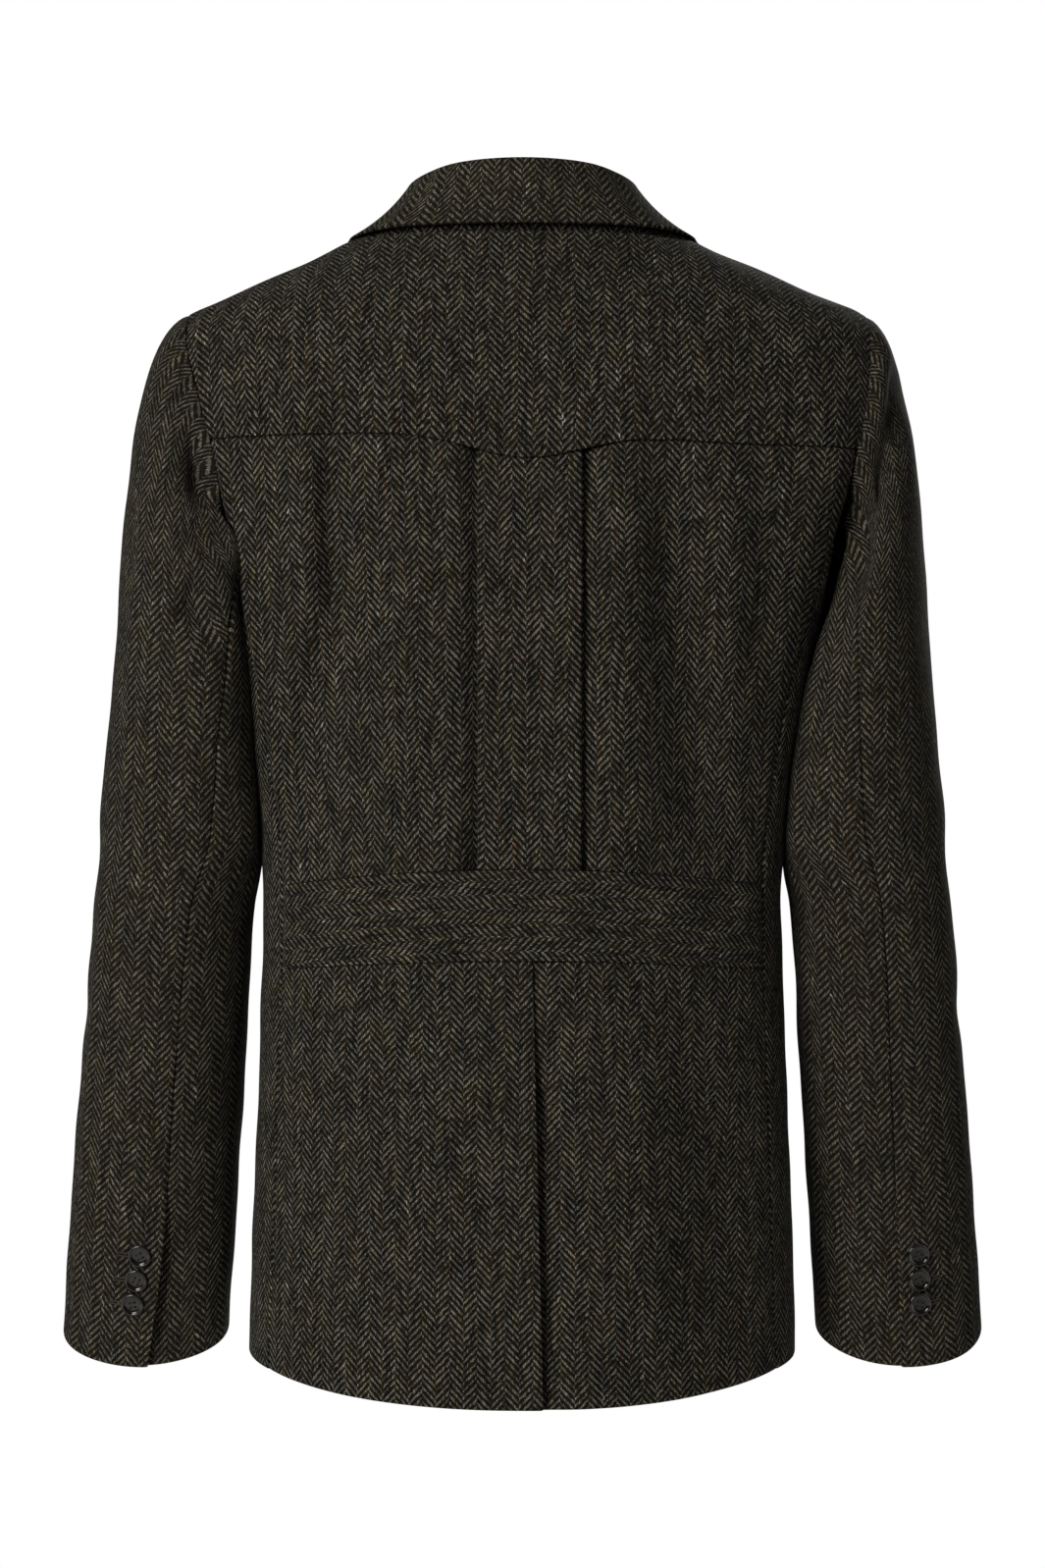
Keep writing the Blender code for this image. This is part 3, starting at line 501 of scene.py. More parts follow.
def weave_of(across, along, seed, scale=(PERIOD, PITCH)):
    """Weave coordinates at the common scale: across the columns, up them, and a piece's number."""
    across, along = np.broadcast_arrays(across, along)
    period, pitch = scale
    number = np.full(across.shape, float(seed))
    return np.stack([across * PERIOD / period, along * PITCH / pitch, number], -1)


def body_shell(name, angle, height, off, weave, look, seams="", thick=CLOTH):
    """A shell on the body from grids of angles and heights."""
    base = torso(angle, height)
    out = off - seam_sink(base, seams) + ripple(base[..., 0] + base[..., 1], height)
    outer = torso_at(angle, height, out) + body_folds(base)
    inner = torso_at(angle, height, out - thick) + body_folds(base)
    return shell(name, outer, inner, weave, look)


def folded_shell(name, middle, weave, look, thick=ROLLED_CLOTH):
    """A shell on both sides of a middle sheet."""
    face = unit(np.cross(np.gradient(middle, axis=0), np.gradient(middle, axis=1)))
    half = face * np.asarray(thick)[..., None] / 2
    return shell(name, middle + half, middle - half, weave, look)


YOKE_LINE, YOKE_WAVE, YOKE_WAVE_WIDTH = -0.1435, 0.0165, 0.052
YOKE_FALL, YOKE_FALL_SPAN = 0.0062, (0.03, 0.14)  # of its seam, and where, to the wearer's right
YOKE_SPAN = 2.2  # its way across, in half widths at its seam
YOKE_LENGTH = 0.205  # up the middle
YOKE_FOOT = 0.42  # share of its rows below the shoulder tip
YOKE_WAVE_TOP = -0.085  # height from which the rows no longer follow the seam's wave
YOKE_PEAK = 0.0027  # x of the chevrons' peak nearest the middle of the yoke
YOKE_RISE, YOKE_RISE_ROWS = 0.0005, 0.2  # of the yoke over the panel below it, and the share of its rows
YOKE_ROLL, YOKE_ROLL_WIDTH = 0.0008, 0.0015  # how its lower edge rolls in
COLLAR_SHADE, COLLAR_GROOVE = 0.0042, -0.0093  # dent under the collar's edge: depth and height
COLLAR_GROOVE_WIDTHS = (0.0060, 0.0013)  # above that height and below it
COLLAR_GROOVE_ENDS = (0.55, 0.95)  # shares of the way to the side over which it fades
YOKE_FINE_ROWS = np.linspace(0.825, 0.895, 15)  # extra rows there
STRAIGHT_HALF = 0.072  # columns nearer the centre back run straight up and down
GRAIN_LEAN = 0.4  # share of the side seams' slant that the grain beyond them follows


def yoke_line(x):
    """Height of the seam below the yoke."""
    wave = YOKE_WAVE * bell(x - CENTRE_BACK, YOKE_WAVE_WIDTH)
    return YOKE_LINE - wave - YOKE_FALL * smooth(-x, *YOKE_FALL_SPAN)


def yoke_lift(up, height, share):
    """The yoke's height off the body: over the panel, rolled at its edge, dented by the collar."""
    lift = YOKE_RISE * (1 - smooth(up, 0, YOKE_RISE_ROWS))
    lift = lift - YOKE_ROLL * bell(height - height[:1], YOKE_ROLL_WIDTH)
    over = height - COLLAR_GROOVE
    groove = bell(over, np.where(over > 0, *COLLAR_GROOVE_WIDTHS))
    return lift - COLLAR_SHADE * groove * (1 - smooth(np.abs(share), *COLLAR_GROOVE_ENDS))


def make_yoke(look):
    edge = EDGES("back", YOKE_LINE)
    x = edge * (2 * stations(YOKE_SPAN * edge) - 1)
    share = angle_of(x, yoke_line(x)) / edge_angle("back", yoke_line(edge))
    up = np.sort(np.concatenate([stations(YOKE_LENGTH), YOKE_FINE_ROWS]))[:, None]
    level = SHOULDER_TIP + np.clip(1 - up / YOKE_FOOT, 0, 1) ** 1.5 * (YOKE_LINE - SHOULDER_TIP)
    wave = (yoke_line(x) - YOKE_LINE) * (1 - smooth(level, YOKE_LINE, YOKE_WAVE_TOP))
    above = np.clip((up - YOKE_FOOT) / (1 - YOKE_FOOT), 0, 1)
    height = level + wave + above * (neck_height(90 * share) - SHOULDER_TIP)
    angle = share * edge_angle("back", level)
    across = ring_run(angle, height) - YOKE_PEAK
    weave = weave_of(across, climb(torso(angle, height)), 1, YOKE_WEAVE)
    return body_shell("back_yoke", angle, height, yoke_lift(up, height, share), weave, look, "u")


def spread(x, height):
    """Moves columns that stand x from the middle at the yoke to fit another level's edges."""
    way = np.sign(x - CENTRE_BACK)
    straight = CENTRE_BACK + way * STRAIGHT_HALF
    edge = way * EDGES("back", YOKE_LINE)
    here = way * EDGES("back", height)
    share = (x - straight) / (edge - straight)
    return np.where(share > 0, straight + share * (here - straight), x)


PLEAT_HALF, PLEAT_UNDERLAY, PLEAT_TURN = 0.0318, 0.018, 0.00095
PLEAT_TOP_LAYER = -0.0002
PLEAT_LEFT = (0.020, 0.0068)  # over which the panel beside the pleat rises, and how deep it dips
PLEAT_RIGHT = (0.030, 0.0042)
PLEAT_DIP_WIDTH = 0.007
PLEAT_KEEP = 0.01  # beside the box, before the columns spread to the armholes
BOX_POINTS, FOLD_POINTS, LAYER_POINTS = 10, 7, 6  # across the box, round a fold, between two folds
TAIL_CLEAR = 0.002  # from the inner fold to the panel's first point beside it


def level_run(x, height):
    return np.stack([x, np.full_like(x, height)])


def pleat_half(ramp, dip):
    """(distance from the middle, height off the body) along one half of the pleated wall."""
    top, turn = PLEAT_TOP_LAYER - PLEAT_CLOTH / 2, PLEAT_TURN
    bottom = top - 4 * turn
    inner_fold, outer_fold = PLEAT_HALF - PLEAT_UNDERLAY, PLEAT_HALF - turn
    round_turn = np.linspace(np.pi / 2, -np.pi / 2, FOLD_POINTS)
    out, up = turn * np.cos(round_turn), turn * np.sin(round_turn)
    reach = EDGES("back", YOKE_LINE) + CENTRE_BACK
    tail = inner_fold + (reach - inner_fold) * stations(reach - inner_fold)
    tail = tail[tail > inner_fold + TAIL_CLEAR]
    low = bottom - dip * bell(tail - PLEAT_HALF, PLEAT_DIP_WIDTH)
    rise = smooth(tail, PLEAT_HALF, PLEAT_HALF + ramp)
    line = [
        level_run(np.linspace(0, outer_fold, BOX_POINTS)[:-1], top),
        np.stack([outer_fold + out, top - turn + up]),
        level_run(np.linspace(outer_fold, inner_fold, LAYER_POINTS)[1:-1], top - 2 * turn),
        np.stack([inner_fold - out, bottom + turn + up]),
        np.stack([tail, low + (-PLEAT_CLOTH / 2 - low) * rise]),
    ]
    return np.concatenate(line, 1).T


def pleat_section():
    """The whole pleated section: its two faces as (x, height off body), and its length."""
    halves = []
    for side, shape in ((-1, PLEAT_RIGHT), (1, PLEAT_LEFT)):
        half = pleat_half(*shape)
        reach = EDGES("back", YOKE_LINE) - side * CENTRE_BACK
        far = smooth(half[:, 0], PLEAT_HALF + PLEAT_KEEP, half[-1, 0])
        half[:, 0] *= side * (1 + (reach / half[-1, 0] - 1) * far)
        halves.append(half)
    right, left = halves
    middle = np.concatenate([right[:0:-1], left])
    along = unit(np.gradient(middle, axis=0))
    across = np.stack([-along[:, 1], along[:, 0]], -1) * PLEAT_CLOTH / 2
    length = run_along(middle, 0)
    return middle + across, middle - across, length - length[len(right) - 1]


YOKE_LAP, YOKE_TUCK = 0.0120, 0.0030  # the panel runs on under the yoke's edge, and so deep
YOKE_TUCK_SPAN = (-0.0014, 0.0004)  # heights over the seam between which it goes down
PANEL_LENGTH = 0.285
PANEL_SEAM_ROWS = np.array([-0.0014, -0.0006, 0.0002, 0.0010, 0.0018, 0.0030])  # closer, by the yoke
PANEL_PEAK = 0.0062  # x of the chevrons' peak nearest the middle of the pleat
BELT_TOP, BELT_BOTTOM = -0.4255, -0.4785  # at the side seams
BELT_TOP_RISE, BELT_BOTTOM_RISE = 0.0115, 0.0075  # at the centre back
BELT_SPAN, BELT_WIDTH, BELT_STEP = 1.6, 0.055, 0.003  # its way across is in the yoke's half widths
BELT_OUT = 0.0011
BELT_FIRST_COLUMN = 0.0068  # from the belt's top edge down to its first column's border


def belt_line(x, level, rise):
    """Height of a belt edge, which rises to the centre back."""
    return level + rise * (1 - (x / EDGES("back", level)) ** 2)


def make_back_panel(look):
    seam_rows = 1 - (YOKE_LAP + PANEL_SEAM_ROWS) / PANEL_LENGTH
    rows = np.sort(np.concatenate([stations(PANEL_LENGTH, PLEAT_CLOTH), seam_rows]))[:, None]
    front, back, length = pleat_section()
    faces = []
    for section in (front, back):
        reference = CENTRE_BACK + section[:, 0]
        low = belt_line(spread(reference, BELT_TOP), BELT_TOP, BELT_TOP_RISE)
        high = yoke_line(reference) + YOKE_LAP
        height = low + rows * (high - low)
        x = spread(reference[None, :], height)
        angle = angle_of(x, height)
        base = torso(angle, height)
        tuck = YOKE_TUCK * smooth(height - (high - YOKE_LAP), *YOKE_TUCK_SPAN)
        off = section[:, 1] - seam_sink(base, "lr") - tuck + ripple(x + base[..., 1], height)
        faces.append(torso_at(angle, height, off) + body_folds(base))
        if section is front:
            lean = (1 - GRAIN_LEAN) * (x - reference)
            weave = weave_of(CENTRE_BACK - PANEL_PEAK + length + lean, height, seed=2)
    return shell("back_panel", *faces, weave, look)


def make_belt(look):
    edge = EDGES("back", YOKE_LINE)
    x = edge * (2 * stations(BELT_SPAN * edge, BELT_CLOTH) - 1)
    rows = stations(BELT_WIDTH, BELT_CLOTH, BELT_STEP)[:, None]
    low = belt_line(spread(x, BELT_BOTTOM), BELT_BOTTOM, BELT_BOTTOM_RISE)
    high = belt_line(spread(x, BELT_TOP), BELT_TOP, BELT_TOP_RISE)
    height = low + rows * (high - low)
    angle = angle_of(spread(x[None, :], height), height)
    down = high - height - BELT_FIRST_COLUMN
    weave = weave_of(down, -ring_run(angle, height), 3, BELT_WEAVE)
    return body_shell("back_belt", angle, height, BELT_OUT, weave, look, "lr", BELT_CLOTH)


SKIRT_WIDTH, SKIRT_LENGTH = 0.160, 0.265
VENT_OFF, VENT_LEAN, VENT_UNDERLAP = 0.002, 0.0065, 0.038
VENT_GAPE = 0.0046  # extra room under the vent's edge where it stands open
VENT_OPENS, VENT_DRAWS_IN = (0.10, 0.40), (0.70, 1.0)  # shares of the way down
VENT_LIFT_WIDTH, VENT_SINK_SPAN = 0.022, (0.001, 0.024)  # beside the edge, left over and right under
VENT_PEAK = -0.0065


def hem_drop(angle):
    """How far the hem hangs below its height at the side."""
    cosine = np.cos(np.radians(angle))
    return np.where(cosine > 0, HEM_BACK_DROP, HEM_FRONT_DROP) * np.abs(cosine)


def skirt_height(angle, row):
    """Height on the back skirts, a row's share of the way up from the hem."""
    x = torso(angle, BELT_BOTTOM)[..., 0]
    low = HEM - hem_drop(angle)
    return low + row * (belt_line(x, BELT_BOTTOM, BELT_BOTTOM_RISE) - low)


def make_skirt(name, side, look):
    rows = stations(SKIRT_LENGTH)[:, None]
    vent = CENTRE_BACK - VENT_OFF - VENT_LEAN * (1 - rows)  # x of its visible edge
    nominal = HEM + rows * (BELT_BOTTOM - HEM)
    x = vent + stations(SKIRT_WIDTH)[None, :] * (side * EDGES("back", nominal) - vent)
    gape = smooth(1 - rows, *VENT_OPENS) * (1 - 0.5 * smooth(1 - rows, *VENT_DRAWS_IN))
    if side > 0:
        off = 0.5 * VENT_GAPE * gape * (1 - smooth(x - vent, 0, VENT_LIFT_WIDTH))
    else:
        under = vent + VENT_UNDERLAP * (1 - stations(VENT_UNDERLAP))[None, :]
        x = np.hstack([under, x])
        off = -(LAP_DROP + VENT_GAPE * gape) * (1 - smooth(vent - x, *VENT_SINK_SPAN))
    angle = angle_of(x, nominal)
    height = skirt_height(angle, rows)
    weave = weave_of(ring_run(angle, height) - VENT_PEAK, height, 4 + side, SKIRT_WEAVE)
    return body_shell(name, angle, height, off, weave, look)


SIDE_WIDTH, SIDE_LENGTH = 0.115, 0.53
SIDE_SAG_FROM = -0.42  # height from which the rows bend to the underarm's curve
SIDE_HEM_BOW = 0.45  # share of the hem's own curve that the side panels take
UNDERARM_DIP, UNDERARM_ROUND = 0.056, 0.7  # a smaller power is rounder


def underarm(share):
    """(angle, height) on the armhole below the notches, from the back one to the front one."""
    start, end = edge_angle("back", BACK_NOTCH), edge_angle("front", FRONT_NOTCH)
    level = BACK_NOTCH + share * (FRONT_NOTCH - BACK_NOTCH)
    return start + share * (end - start), level - UNDERARM_DIP * np.sin(np.pi * share) ** UNDERARM_ROUND


def seam_hem(side):
    """Height of the hem at the back or front seam of the side panel."""
    return HEM - hem_drop(edge_angle(side, HEM))


def make_side(name, side, look):
    rows = stations(SIDE_LENGTH)[:, None]
    share = lapped(SIDE_WIDTH)[None, :]
    back = seam_hem("back") + rows * (BACK_NOTCH - seam_hem("back"))
    front = seam_hem("front") + rows * (FRONT_NOTCH - seam_hem("front"))
    level = back + share * (front - back)
    sag = underarm(np.clip(share, 0, 1))[1] - (BACK_NOTCH + share * (FRONT_NOTCH - BACK_NOTCH))
    height = level + sag * smooth(level, SIDE_SAG_FROM, BACK_NOTCH) ** 1.5
    start, end = edge_angle("back", back), edge_angle("front", front)
    angle = side * (start + share * (end - start))
    bow = HEM - hem_drop(angle[:1]) - height[:1]
    height = height + SIDE_HEM_BOW * bow * (1 - rows) ** 3
    weave = weave_of(ring_run(angle, height), height, seed=7 + side)
    off = -lap_drop(SIDE_WIDTH * np.minimum(share, 1 - share))
    return body_shell(name, angle, height, off, weave, look, "u")


FRONT_WIDTH, FRONT_LENGTH = 0.24, 0.80
NOTCH_ROW, TIP_ROW = 0.62, 0.82  # shares of the rows at the armhole's notch and the shoulder tip
FRONT_TOP = NECK_SIDE - 0.004
FRONT_OVERLAP = 0.018  # past the centre front
FRONT_CORNER, CORNER_FROM, CORNER_TOP = 0.060, 0.6, -0.58  # its rise, start across and end up
CUTAWAY, CUTAWAY_SPAN = 0.040, (0.56, 0.75)  # of the closing edge, and depths over which it goes back
UNDER_SPAN, UNDER_TOP = (0.030, 0.055), (-0.25, -0.20)  # x and heights where the underlap ends
BREAK, ROLL_TOP_X = -0.360, 0.068  # the roll line runs from here to the side of the neck
CENTRE_FRONT = np.array(180.0), np.array(-0.4)  # the angle and height that the front's weave starts at


def roll_x(height):
    """x of the left front's inner edge: the closing edge, and the roll line above it."""
    top_share = (height - BREAK) / (NECK_SIDE - BREAK)
    roll = -FRONT_OVERLAP + top_share * (ROLL_TOP_X + FRONT_OVERLAP)
    cutaway = CUTAWAY * smooth(-np.asarray(height), *CUTAWAY_SPAN)
    return np.where(top_share > 0, roll, -FRONT_OVERLAP + cutaway)


def front_level(up):
    """Heights of a front's rows at its outer edge: side seam, armhole and shoulder."""
    hem = seam_hem("front")
    arm = np.clip((up - NOTCH_ROW) / (TIP_ROW - NOTCH_ROW), 0, 1)
    level = hem + np.clip(up / NOTCH_ROW, 0, 1) * (FRONT_NOTCH - hem)
    level = level + (1 - (1 - arm) ** 1.5) * (SHOULDER_TIP - FRONT_NOTCH)
    return level + np.clip((up - TIP_ROW) / (1 - TIP_ROW), 0, 1) * (FRONT_TOP - SHOULDER_TIP)


def make_front(name, side, look):
    level = front_level(stations(FRONT_LENGTH)[:, None])
    across = stations(FRONT_WIDTH)[None, :]
    near = np.clip((across - CORNER_FROM) / (1 - CORNER_FROM), 0, 1)
    corner = FRONT_CORNER * (1 - np.sqrt(1 - near**2))
    height = level + corner * (1 - smooth(level, HEM - HEM_FRONT_DROP, CORNER_TOP))
    start = edge_angle("front", level)
    angle = start + across * (angle_of(roll_x(height), height, front=True) - start)
    base = torso(angle, height)
    off = np.zeros_like(angle)
    if side < 0:
        off = -LAP_DROP * (1 - smooth(base[..., 0], *UNDER_SPAN)) * (1 - smooth(height, *UNDER_TOP))
    angle = side * angle
    run = ring_run(angle, height) - side * ring_run(*CENTRE_FRONT)
    weave = weave_of(run, climb(base), seed=10 + side)
    return body_shell(name, angle, height, off, weave, look, "ul")


GORGE_HEIGHT = -0.070
GORGE_SHARE = 0.55  # of the lapel's top edge that the collar is sewn to
LAPEL_TIP, COLLAR_TIP = (0.137, -0.113), (0.117, -0.064)  # x, height
LAPEL_BOW, LAPEL_BOW_DROP = 0.012, 0.4  # of its outer edge, and the share of it that is downward
LAPEL_STARTS = {1: (0.03, 0.03), -1: (0.33, 0.17)}  # shares up the roll line and the edge
LAPEL_ROWS, LAPEL_SHARES = 12, np.array([0.2, 0.4, 0.6, 0.8, 1.0])
# The lapel across its roll: distance from the roll line, height off the front.
ROLL = ((-0.0019, -0.0008), (-0.0042, 0.0016), (-0.0030, 0.0044), (0.0010, 0.0056))
ROLL_LIFT, LAPEL_FALL, GORGE_FALL = 0.0056, 0.0032, 0.0030  # lapel and collar come down from the roll
LAPEL_FINER = (6, 4)  # points for each of the coarse grid's, along and across
LAPEL_SPACING = 0.0015  # least distance of its columns, near the break


def lapel_edge(share):
    """(x, height) of the lapel's outer edge, from the break up to its tip."""
    x = roll_x(BREAK) + (LAPEL_TIP[0] - roll_x(BREAK)) * share
    bow = LAPEL_BOW * np.sin(np.pi * share)
    return x + bow, BREAK + (LAPEL_TIP[1] - BREAK) * share - LAPEL_BOW_DROP * bow


def lapel_middle(first, first_edge):
    """The lapel's middle sheet to the gorge, from shares of the way up its roll line and its edge."""
    low = BREAK + np.linspace(first, 1, LAPEL_ROWS) * (GORGE_HEIGHT - BREAK)
    roll = np.stack([roll_x(low), low], -1)
    edge = np.stack(lapel_edge(np.linspace(first_edge, 1, LAPEL_ROWS)), -1)
    width = np.linalg.norm(edge - roll, axis=-1)[:, None]
    away = (edge - roll) / width
    least = ROLL[-1][0] + LAPEL_SPACING * np.arange(1, len(LAPEL_SHARES) + 1)
    beyond = np.maximum(width * LAPEL_SHARES, least)
    across = np.hstack([np.tile([d for d, _ in ROLL], (len(low), 1)), beyond])
    lift = np.append([h for _, h in ROLL], ROLL_LIFT - LAPEL_FALL * smooth(LAPEL_SHARES, 0, 1))
    place = roll[:, None, :] + away[:, None, :] * across[..., None]
    return on_front(place[..., 0], place[..., 1], np.broadcast_to(lift, across.shape))


def make_lapel(name, side, look):
    middle = trimmed(lapel_middle(*LAPEL_STARTS[side]), ROLLED_CLOTH / 2, "ur")
    middle = finer(finer(middle, LAPEL_FINER[0], 0), LAPEL_FINER[1], 1)
    weave = weave_of(run_along(middle, 1), run_along(middle, 0)[:, -1:], seed=13 + side)
    return folded_shell(name, middle if side > 0 else mirrored(middle), weave, look)


# The collar's stand and fall from the centre back (0) past the side of the neck (1) to the
# gorge (2). rise and lean place the fold above the neck seam; edge_x counts past 1.
COLLAR = Table(
    "position rise lean sag edge_x edge_height",
    (0.0, 0.0308, 0.0005, 0.0000, 0.0, -0.0088),
    (0.1, 0.0304, 0.0002, 0.0001, 0.0, -0.0088),
    (0.3, 0.0274, -0.0012, 0.0008, 0.0, -0.0088),
    (0.5, 0.0214, -0.0030, 0.0015, 0.0, -0.0088),
    (0.75, 0.0148, -0.0045, 0.0023, 0.0, -0.0088),
    (1.0, 0.0108, -0.0055, 0.0030, 0.1150, -0.0088),
    (1.5, 0.0110, -0.0030, 0.0015, 0.1200, -0.0360),
    (2.0, 0.0064, 0.0000, 0.0000, *COLLAR_TIP),
)
COLLAR_LIFT, COLLAR_SIDE_LIFT = 0.0050, 0.0009  # of the fall over the cloth, behind and beside
COLLAR_LIFT_SPAN = (0.4, 0.95)  # positions between which it comes down
COLLAR_EDGE, COLLAR_THIN = 0.0014, 0.0005  # how much thicker the fall's edge is behind, thinner ahead
COLLAR_EDGE_SPAN, COLLAR_EDGE_FROM = (0.45, 0.95), 0.6  # positions of that change, and its start across
COLLAR_SECTIONS = (7, 9)  # worked out behind the neck and beside it
COLLAR_FINER = (5, 3)  # points for each of the coarse grid's, along and across
COLLAR_SEEN = -8  # the column of the fall that is seen most, for the weave
COLLAR_TURN = 1.125  # position at which the sewn edge turns from the neck to the roll line
COLLAR_DESCENT = GORGE_HEIGHT + 0.0035 - NECK_SIDE
COLLAR_INSIDE = 0.0022  # of the front's edge
COLLAR_UP, COLLAR_AHEAD = 0.0014, np.array([0.1, -0.9, 0.4])  # the seam's height, and up at the gorge
COLLAR_ROOT = (0.0045, 0.0020)  # how far the stand runs on down and in behind the neck seam
ROOT_ENDS, COLLAR_TILTS = (1.0, 1.2), (0.9, 2.0)  # positions where that ends, and where up turns ahead
FOLD_RADIUS, FOLD_TIGHTER = 0.0030, 0.0008  # of the collar's fold, and how much less at the gorge
FOLD_TURNS = np.radians([170, 130, 90, 50, 15])
STAND_SHARES, FALL_SHARES = (0.0, 0.35, 0.7), (0.18, 0.36, 0.52, 0.66, 0.83, 1.0)
GORGE_FALL_END = 0.7  # share of the front end over which it comes down
GORGE_TURN = 0.66  # share of the front end up to the notch
GORGE_BLEND = (1.55, 2.0)  # positions over which the fall comes to meet it


def neck_point(position):
    """The collar's sewn edge: along the neck seam, then down the roll line."""
    if position <= 1:
        angle = 90 * position
        return torso_at(angle, neck_height(angle), -CLOTH / 2) + UP * COLLAR_UP
    down = NECK_SIDE + max(0.0, position - COLLAR_TURN) / (2 - COLLAR_TURN) * COLLAR_DESCENT
    at_roll = roll_x(down) - COLLAR_INSIDE
    at_shoulder = TORSO("half_width", NECK_SIDE)
    share = min(1.0, (position - 1) / (COLLAR_TURN - 1))
    x = at_shoulder + share * (at_roll - at_shoulder)
    return on_front(x, down, 0.0) + UP * COLLAR_UP * (2 - position)


def collar_lift(position):
    share = float(smooth(position, *COLLAR_LIFT_SPAN))
    return COLLAR_LIFT + (COLLAR_SIDE_LIFT - COLLAR_LIFT) * share


def collar_edge(position):
    """The fall's free edge."""
    height = COLLAR("edge_height", position)
    if position <= 1:
        return torso_at(90 * position, height, collar_lift(position))
    x = min(COLLAR("edge_x", position), TORSO("half_width", height))
    return on_front(x, height, COLLAR_SIDE_LIFT)


def gorge_end(share):
    """A place on the collar's front end: along the gorge to the notch, then up to its tip."""
    start = np.array([float(roll_x(GORGE_HEIGHT)), GORGE_HEIGHT])
    notch = start + GORGE_SHARE * (np.array(LAPEL_TIP) - start)
    if share < GORGE_TURN:
        place = start + share / GORGE_TURN * (notch - start)
    else:
        place = notch + (share - GORGE_TURN) / (1 - GORGE_TURN) * (np.array(COLLAR_TIP) - notch)
    lift = ROLL_LIFT - GORGE_FALL * float(smooth(share, 0, GORGE_FALL_END))
    return on_front(place[0], place[1], lift)


def collar_section(position):
    """Points up the stand, over the fold and down the fall."""
    neck, edge = neck_point(position), collar_edge(position)
    rise, lean, sag = (float(COLLAR(name, position)) for name in ("rise", "lean", "sag"))
    ahead = smooth(position, *COLLAR_TILTS)
    up = unit((1 - ahead) * UP + ahead * COLLAR_AHEAD)
    away = edge - neck
    away = unit(away - up * np.dot(away, up))
    radius = FOLD_RADIUS - FOLD_TIGHTER * ahead
    centre = neck + up * (rise - radius) + away * (lean + radius)
    fold = [centre + radius * (away * math.cos(t) + up * math.sin(t)) for t in FOLD_TURNS]
    down, inward = COLLAR_ROOT
    sewn = neck - (UP * down + away * inward) * (1 - smooth(position, *ROOT_ENDS))
    stand = [sewn + (fold[0] - sewn) * t for t in STAND_SHARES]
    sag = sag * unit(-up - away)
    fall = [fold[-1] + (edge - fold[-1]) * t + sag * 4 * t * (1 - t) for t in FALL_SHARES]
    fall = held_off(np.array(fall), collar_lift(position))
    ends = np.array([gorge_end(t) for t in FALL_SHARES])
    fall = fall + smooth(position, *GORGE_BLEND) * (ends - fall)
    return np.concatenate([stand, fold, fall])


def make_collar(look):
    behind, beside = COLLAR_SECTIONS
    places = np.concatenate([np.linspace(0, 1, behind), np.linspace(1, 2, beside)[1:]])
    half = np.stack([collar_section(p) for p in places])
    middle = np.concatenate([mirrored(half[:0:-1]), half])
    middle = trimmed(middle, ROLLED_CLOTH / 2, "udr")
    middle = finer(finer(middle, COLLAR_FINER[0], 0), COLLAR_FINER[1], 1)
    run = run_along(middle, 0)[:, [COLLAR_SEEN]]
    weave = weave_of(run - run[len(run) // 2], run_along(middle, 1), 16, COLLAR_WEAVE)
    position = finer(np.concatenate([places[:0:-1], places]), COLLAR_FINER[0], 0)[:, None]
    ahead = smooth(position, *COLLAR_EDGE_SPAN)
    change = COLLAR_EDGE * (1 - ahead) - COLLAR_THIN * ahead
    to_edge = smooth(np.linspace(0, 1, middle.shape[1]), COLLAR_EDGE_FROM, 1.0)
    return folded_shell("collar", middle, weave, look, ROLLED_CLOTH + change * to_edge)


# Level sections of the sleeve below the armhole. seam_* are the hind-arm seam's angles
# from the outer side; the two sleeves are turned a little differently.
SLEEVE = Table(
    "height centre_x centre_y half_width half_depth back_drop seam_left seam_right",
    (-0.285, 0.2190, -0.004, 0.0472, 0.0760, 0.00, 122, 100),
    (-0.330, 0.2180, -0.001, 0.0522, 0.0680, 0.00, 117, 95),
    (-0.390, 0.2175, 0.000, 0.0574, 0.0600, 0.00, 111, 90),
    (-0.440, 0.2268, -0.002, 0.0527, 0.0550, 0.03, 107, 87),
    (-0.540, 0.2350, -0.012, 0.0537, 0.0480, 0.15, 103, 88),
    (-0.640, 0.2434, -0.026, 0.0547, 0.0435, 0.35, 102, 91),
    (-0.720, 0.2494, -0.036, 0.0548, 0.0415, 0.50, 96, 93),
)
SLEEVE_TOP, CUFF = -0.285, -0.720
CAP_LENGTH = 0.125  # from the armhole to the sleeve's top section
CAP_LEAVES, CAP_ARRIVES = 0.5, 1.07  # how strongly the cap keeps its directions at both ends
CAP_OUT, CAP_DOWN = (0.75, 0.2), (-0.55, 0.28)  # its direction at the armhole: mean, and more on top
CAP_BACK = 0.42  # how far that turns backward behind and forward in front
ARM_SLANT = 0.074  # outward for each metre down, at the armhole's foot
CAP_CLEARS = (0.006, -0.012)  # heights past the back notch between which it clears the body
SLEEVE_CLEAR, SLEEVE_SOFT = 0.0010, 0.0030  # room left to the body, roundness of the dent
SLEEVE_RADIUS = 0.053  # turns angles round the arm into lengths
SLEEVE_ENDS = 0.9995  # normals are taken just inside the ends
FORE_SEAM = 246  # angle of the seam on the inner front of the arm
HIND_SEAM_LEAN = 4  # how far the hind-arm seam turns over the cap
ARMHOLE_GAP = 0.0001
ARMHOLE_POINTS, ARMHOLE_POWER = 40, 1.6  # along each part of the seam, closer by the shoulder
ARMHOLE_SINK = {1: (0.0002, 0.0020), -1: (0.0004, 0.0030)}  # depth and width beside the seam
TUCKED = (-0.188, -0.164)  # heights between which the right sleeve begins to slip under the back
HELD_ROWS = (0.86, 1.0)  # of the cap, over which its own folds end
PULLED_ROWS = (0.40, 1.0)  # of the cap, over which the body's folds come in
TOP_WIDTH, UNDER_WIDTH = 0.215, 0.120
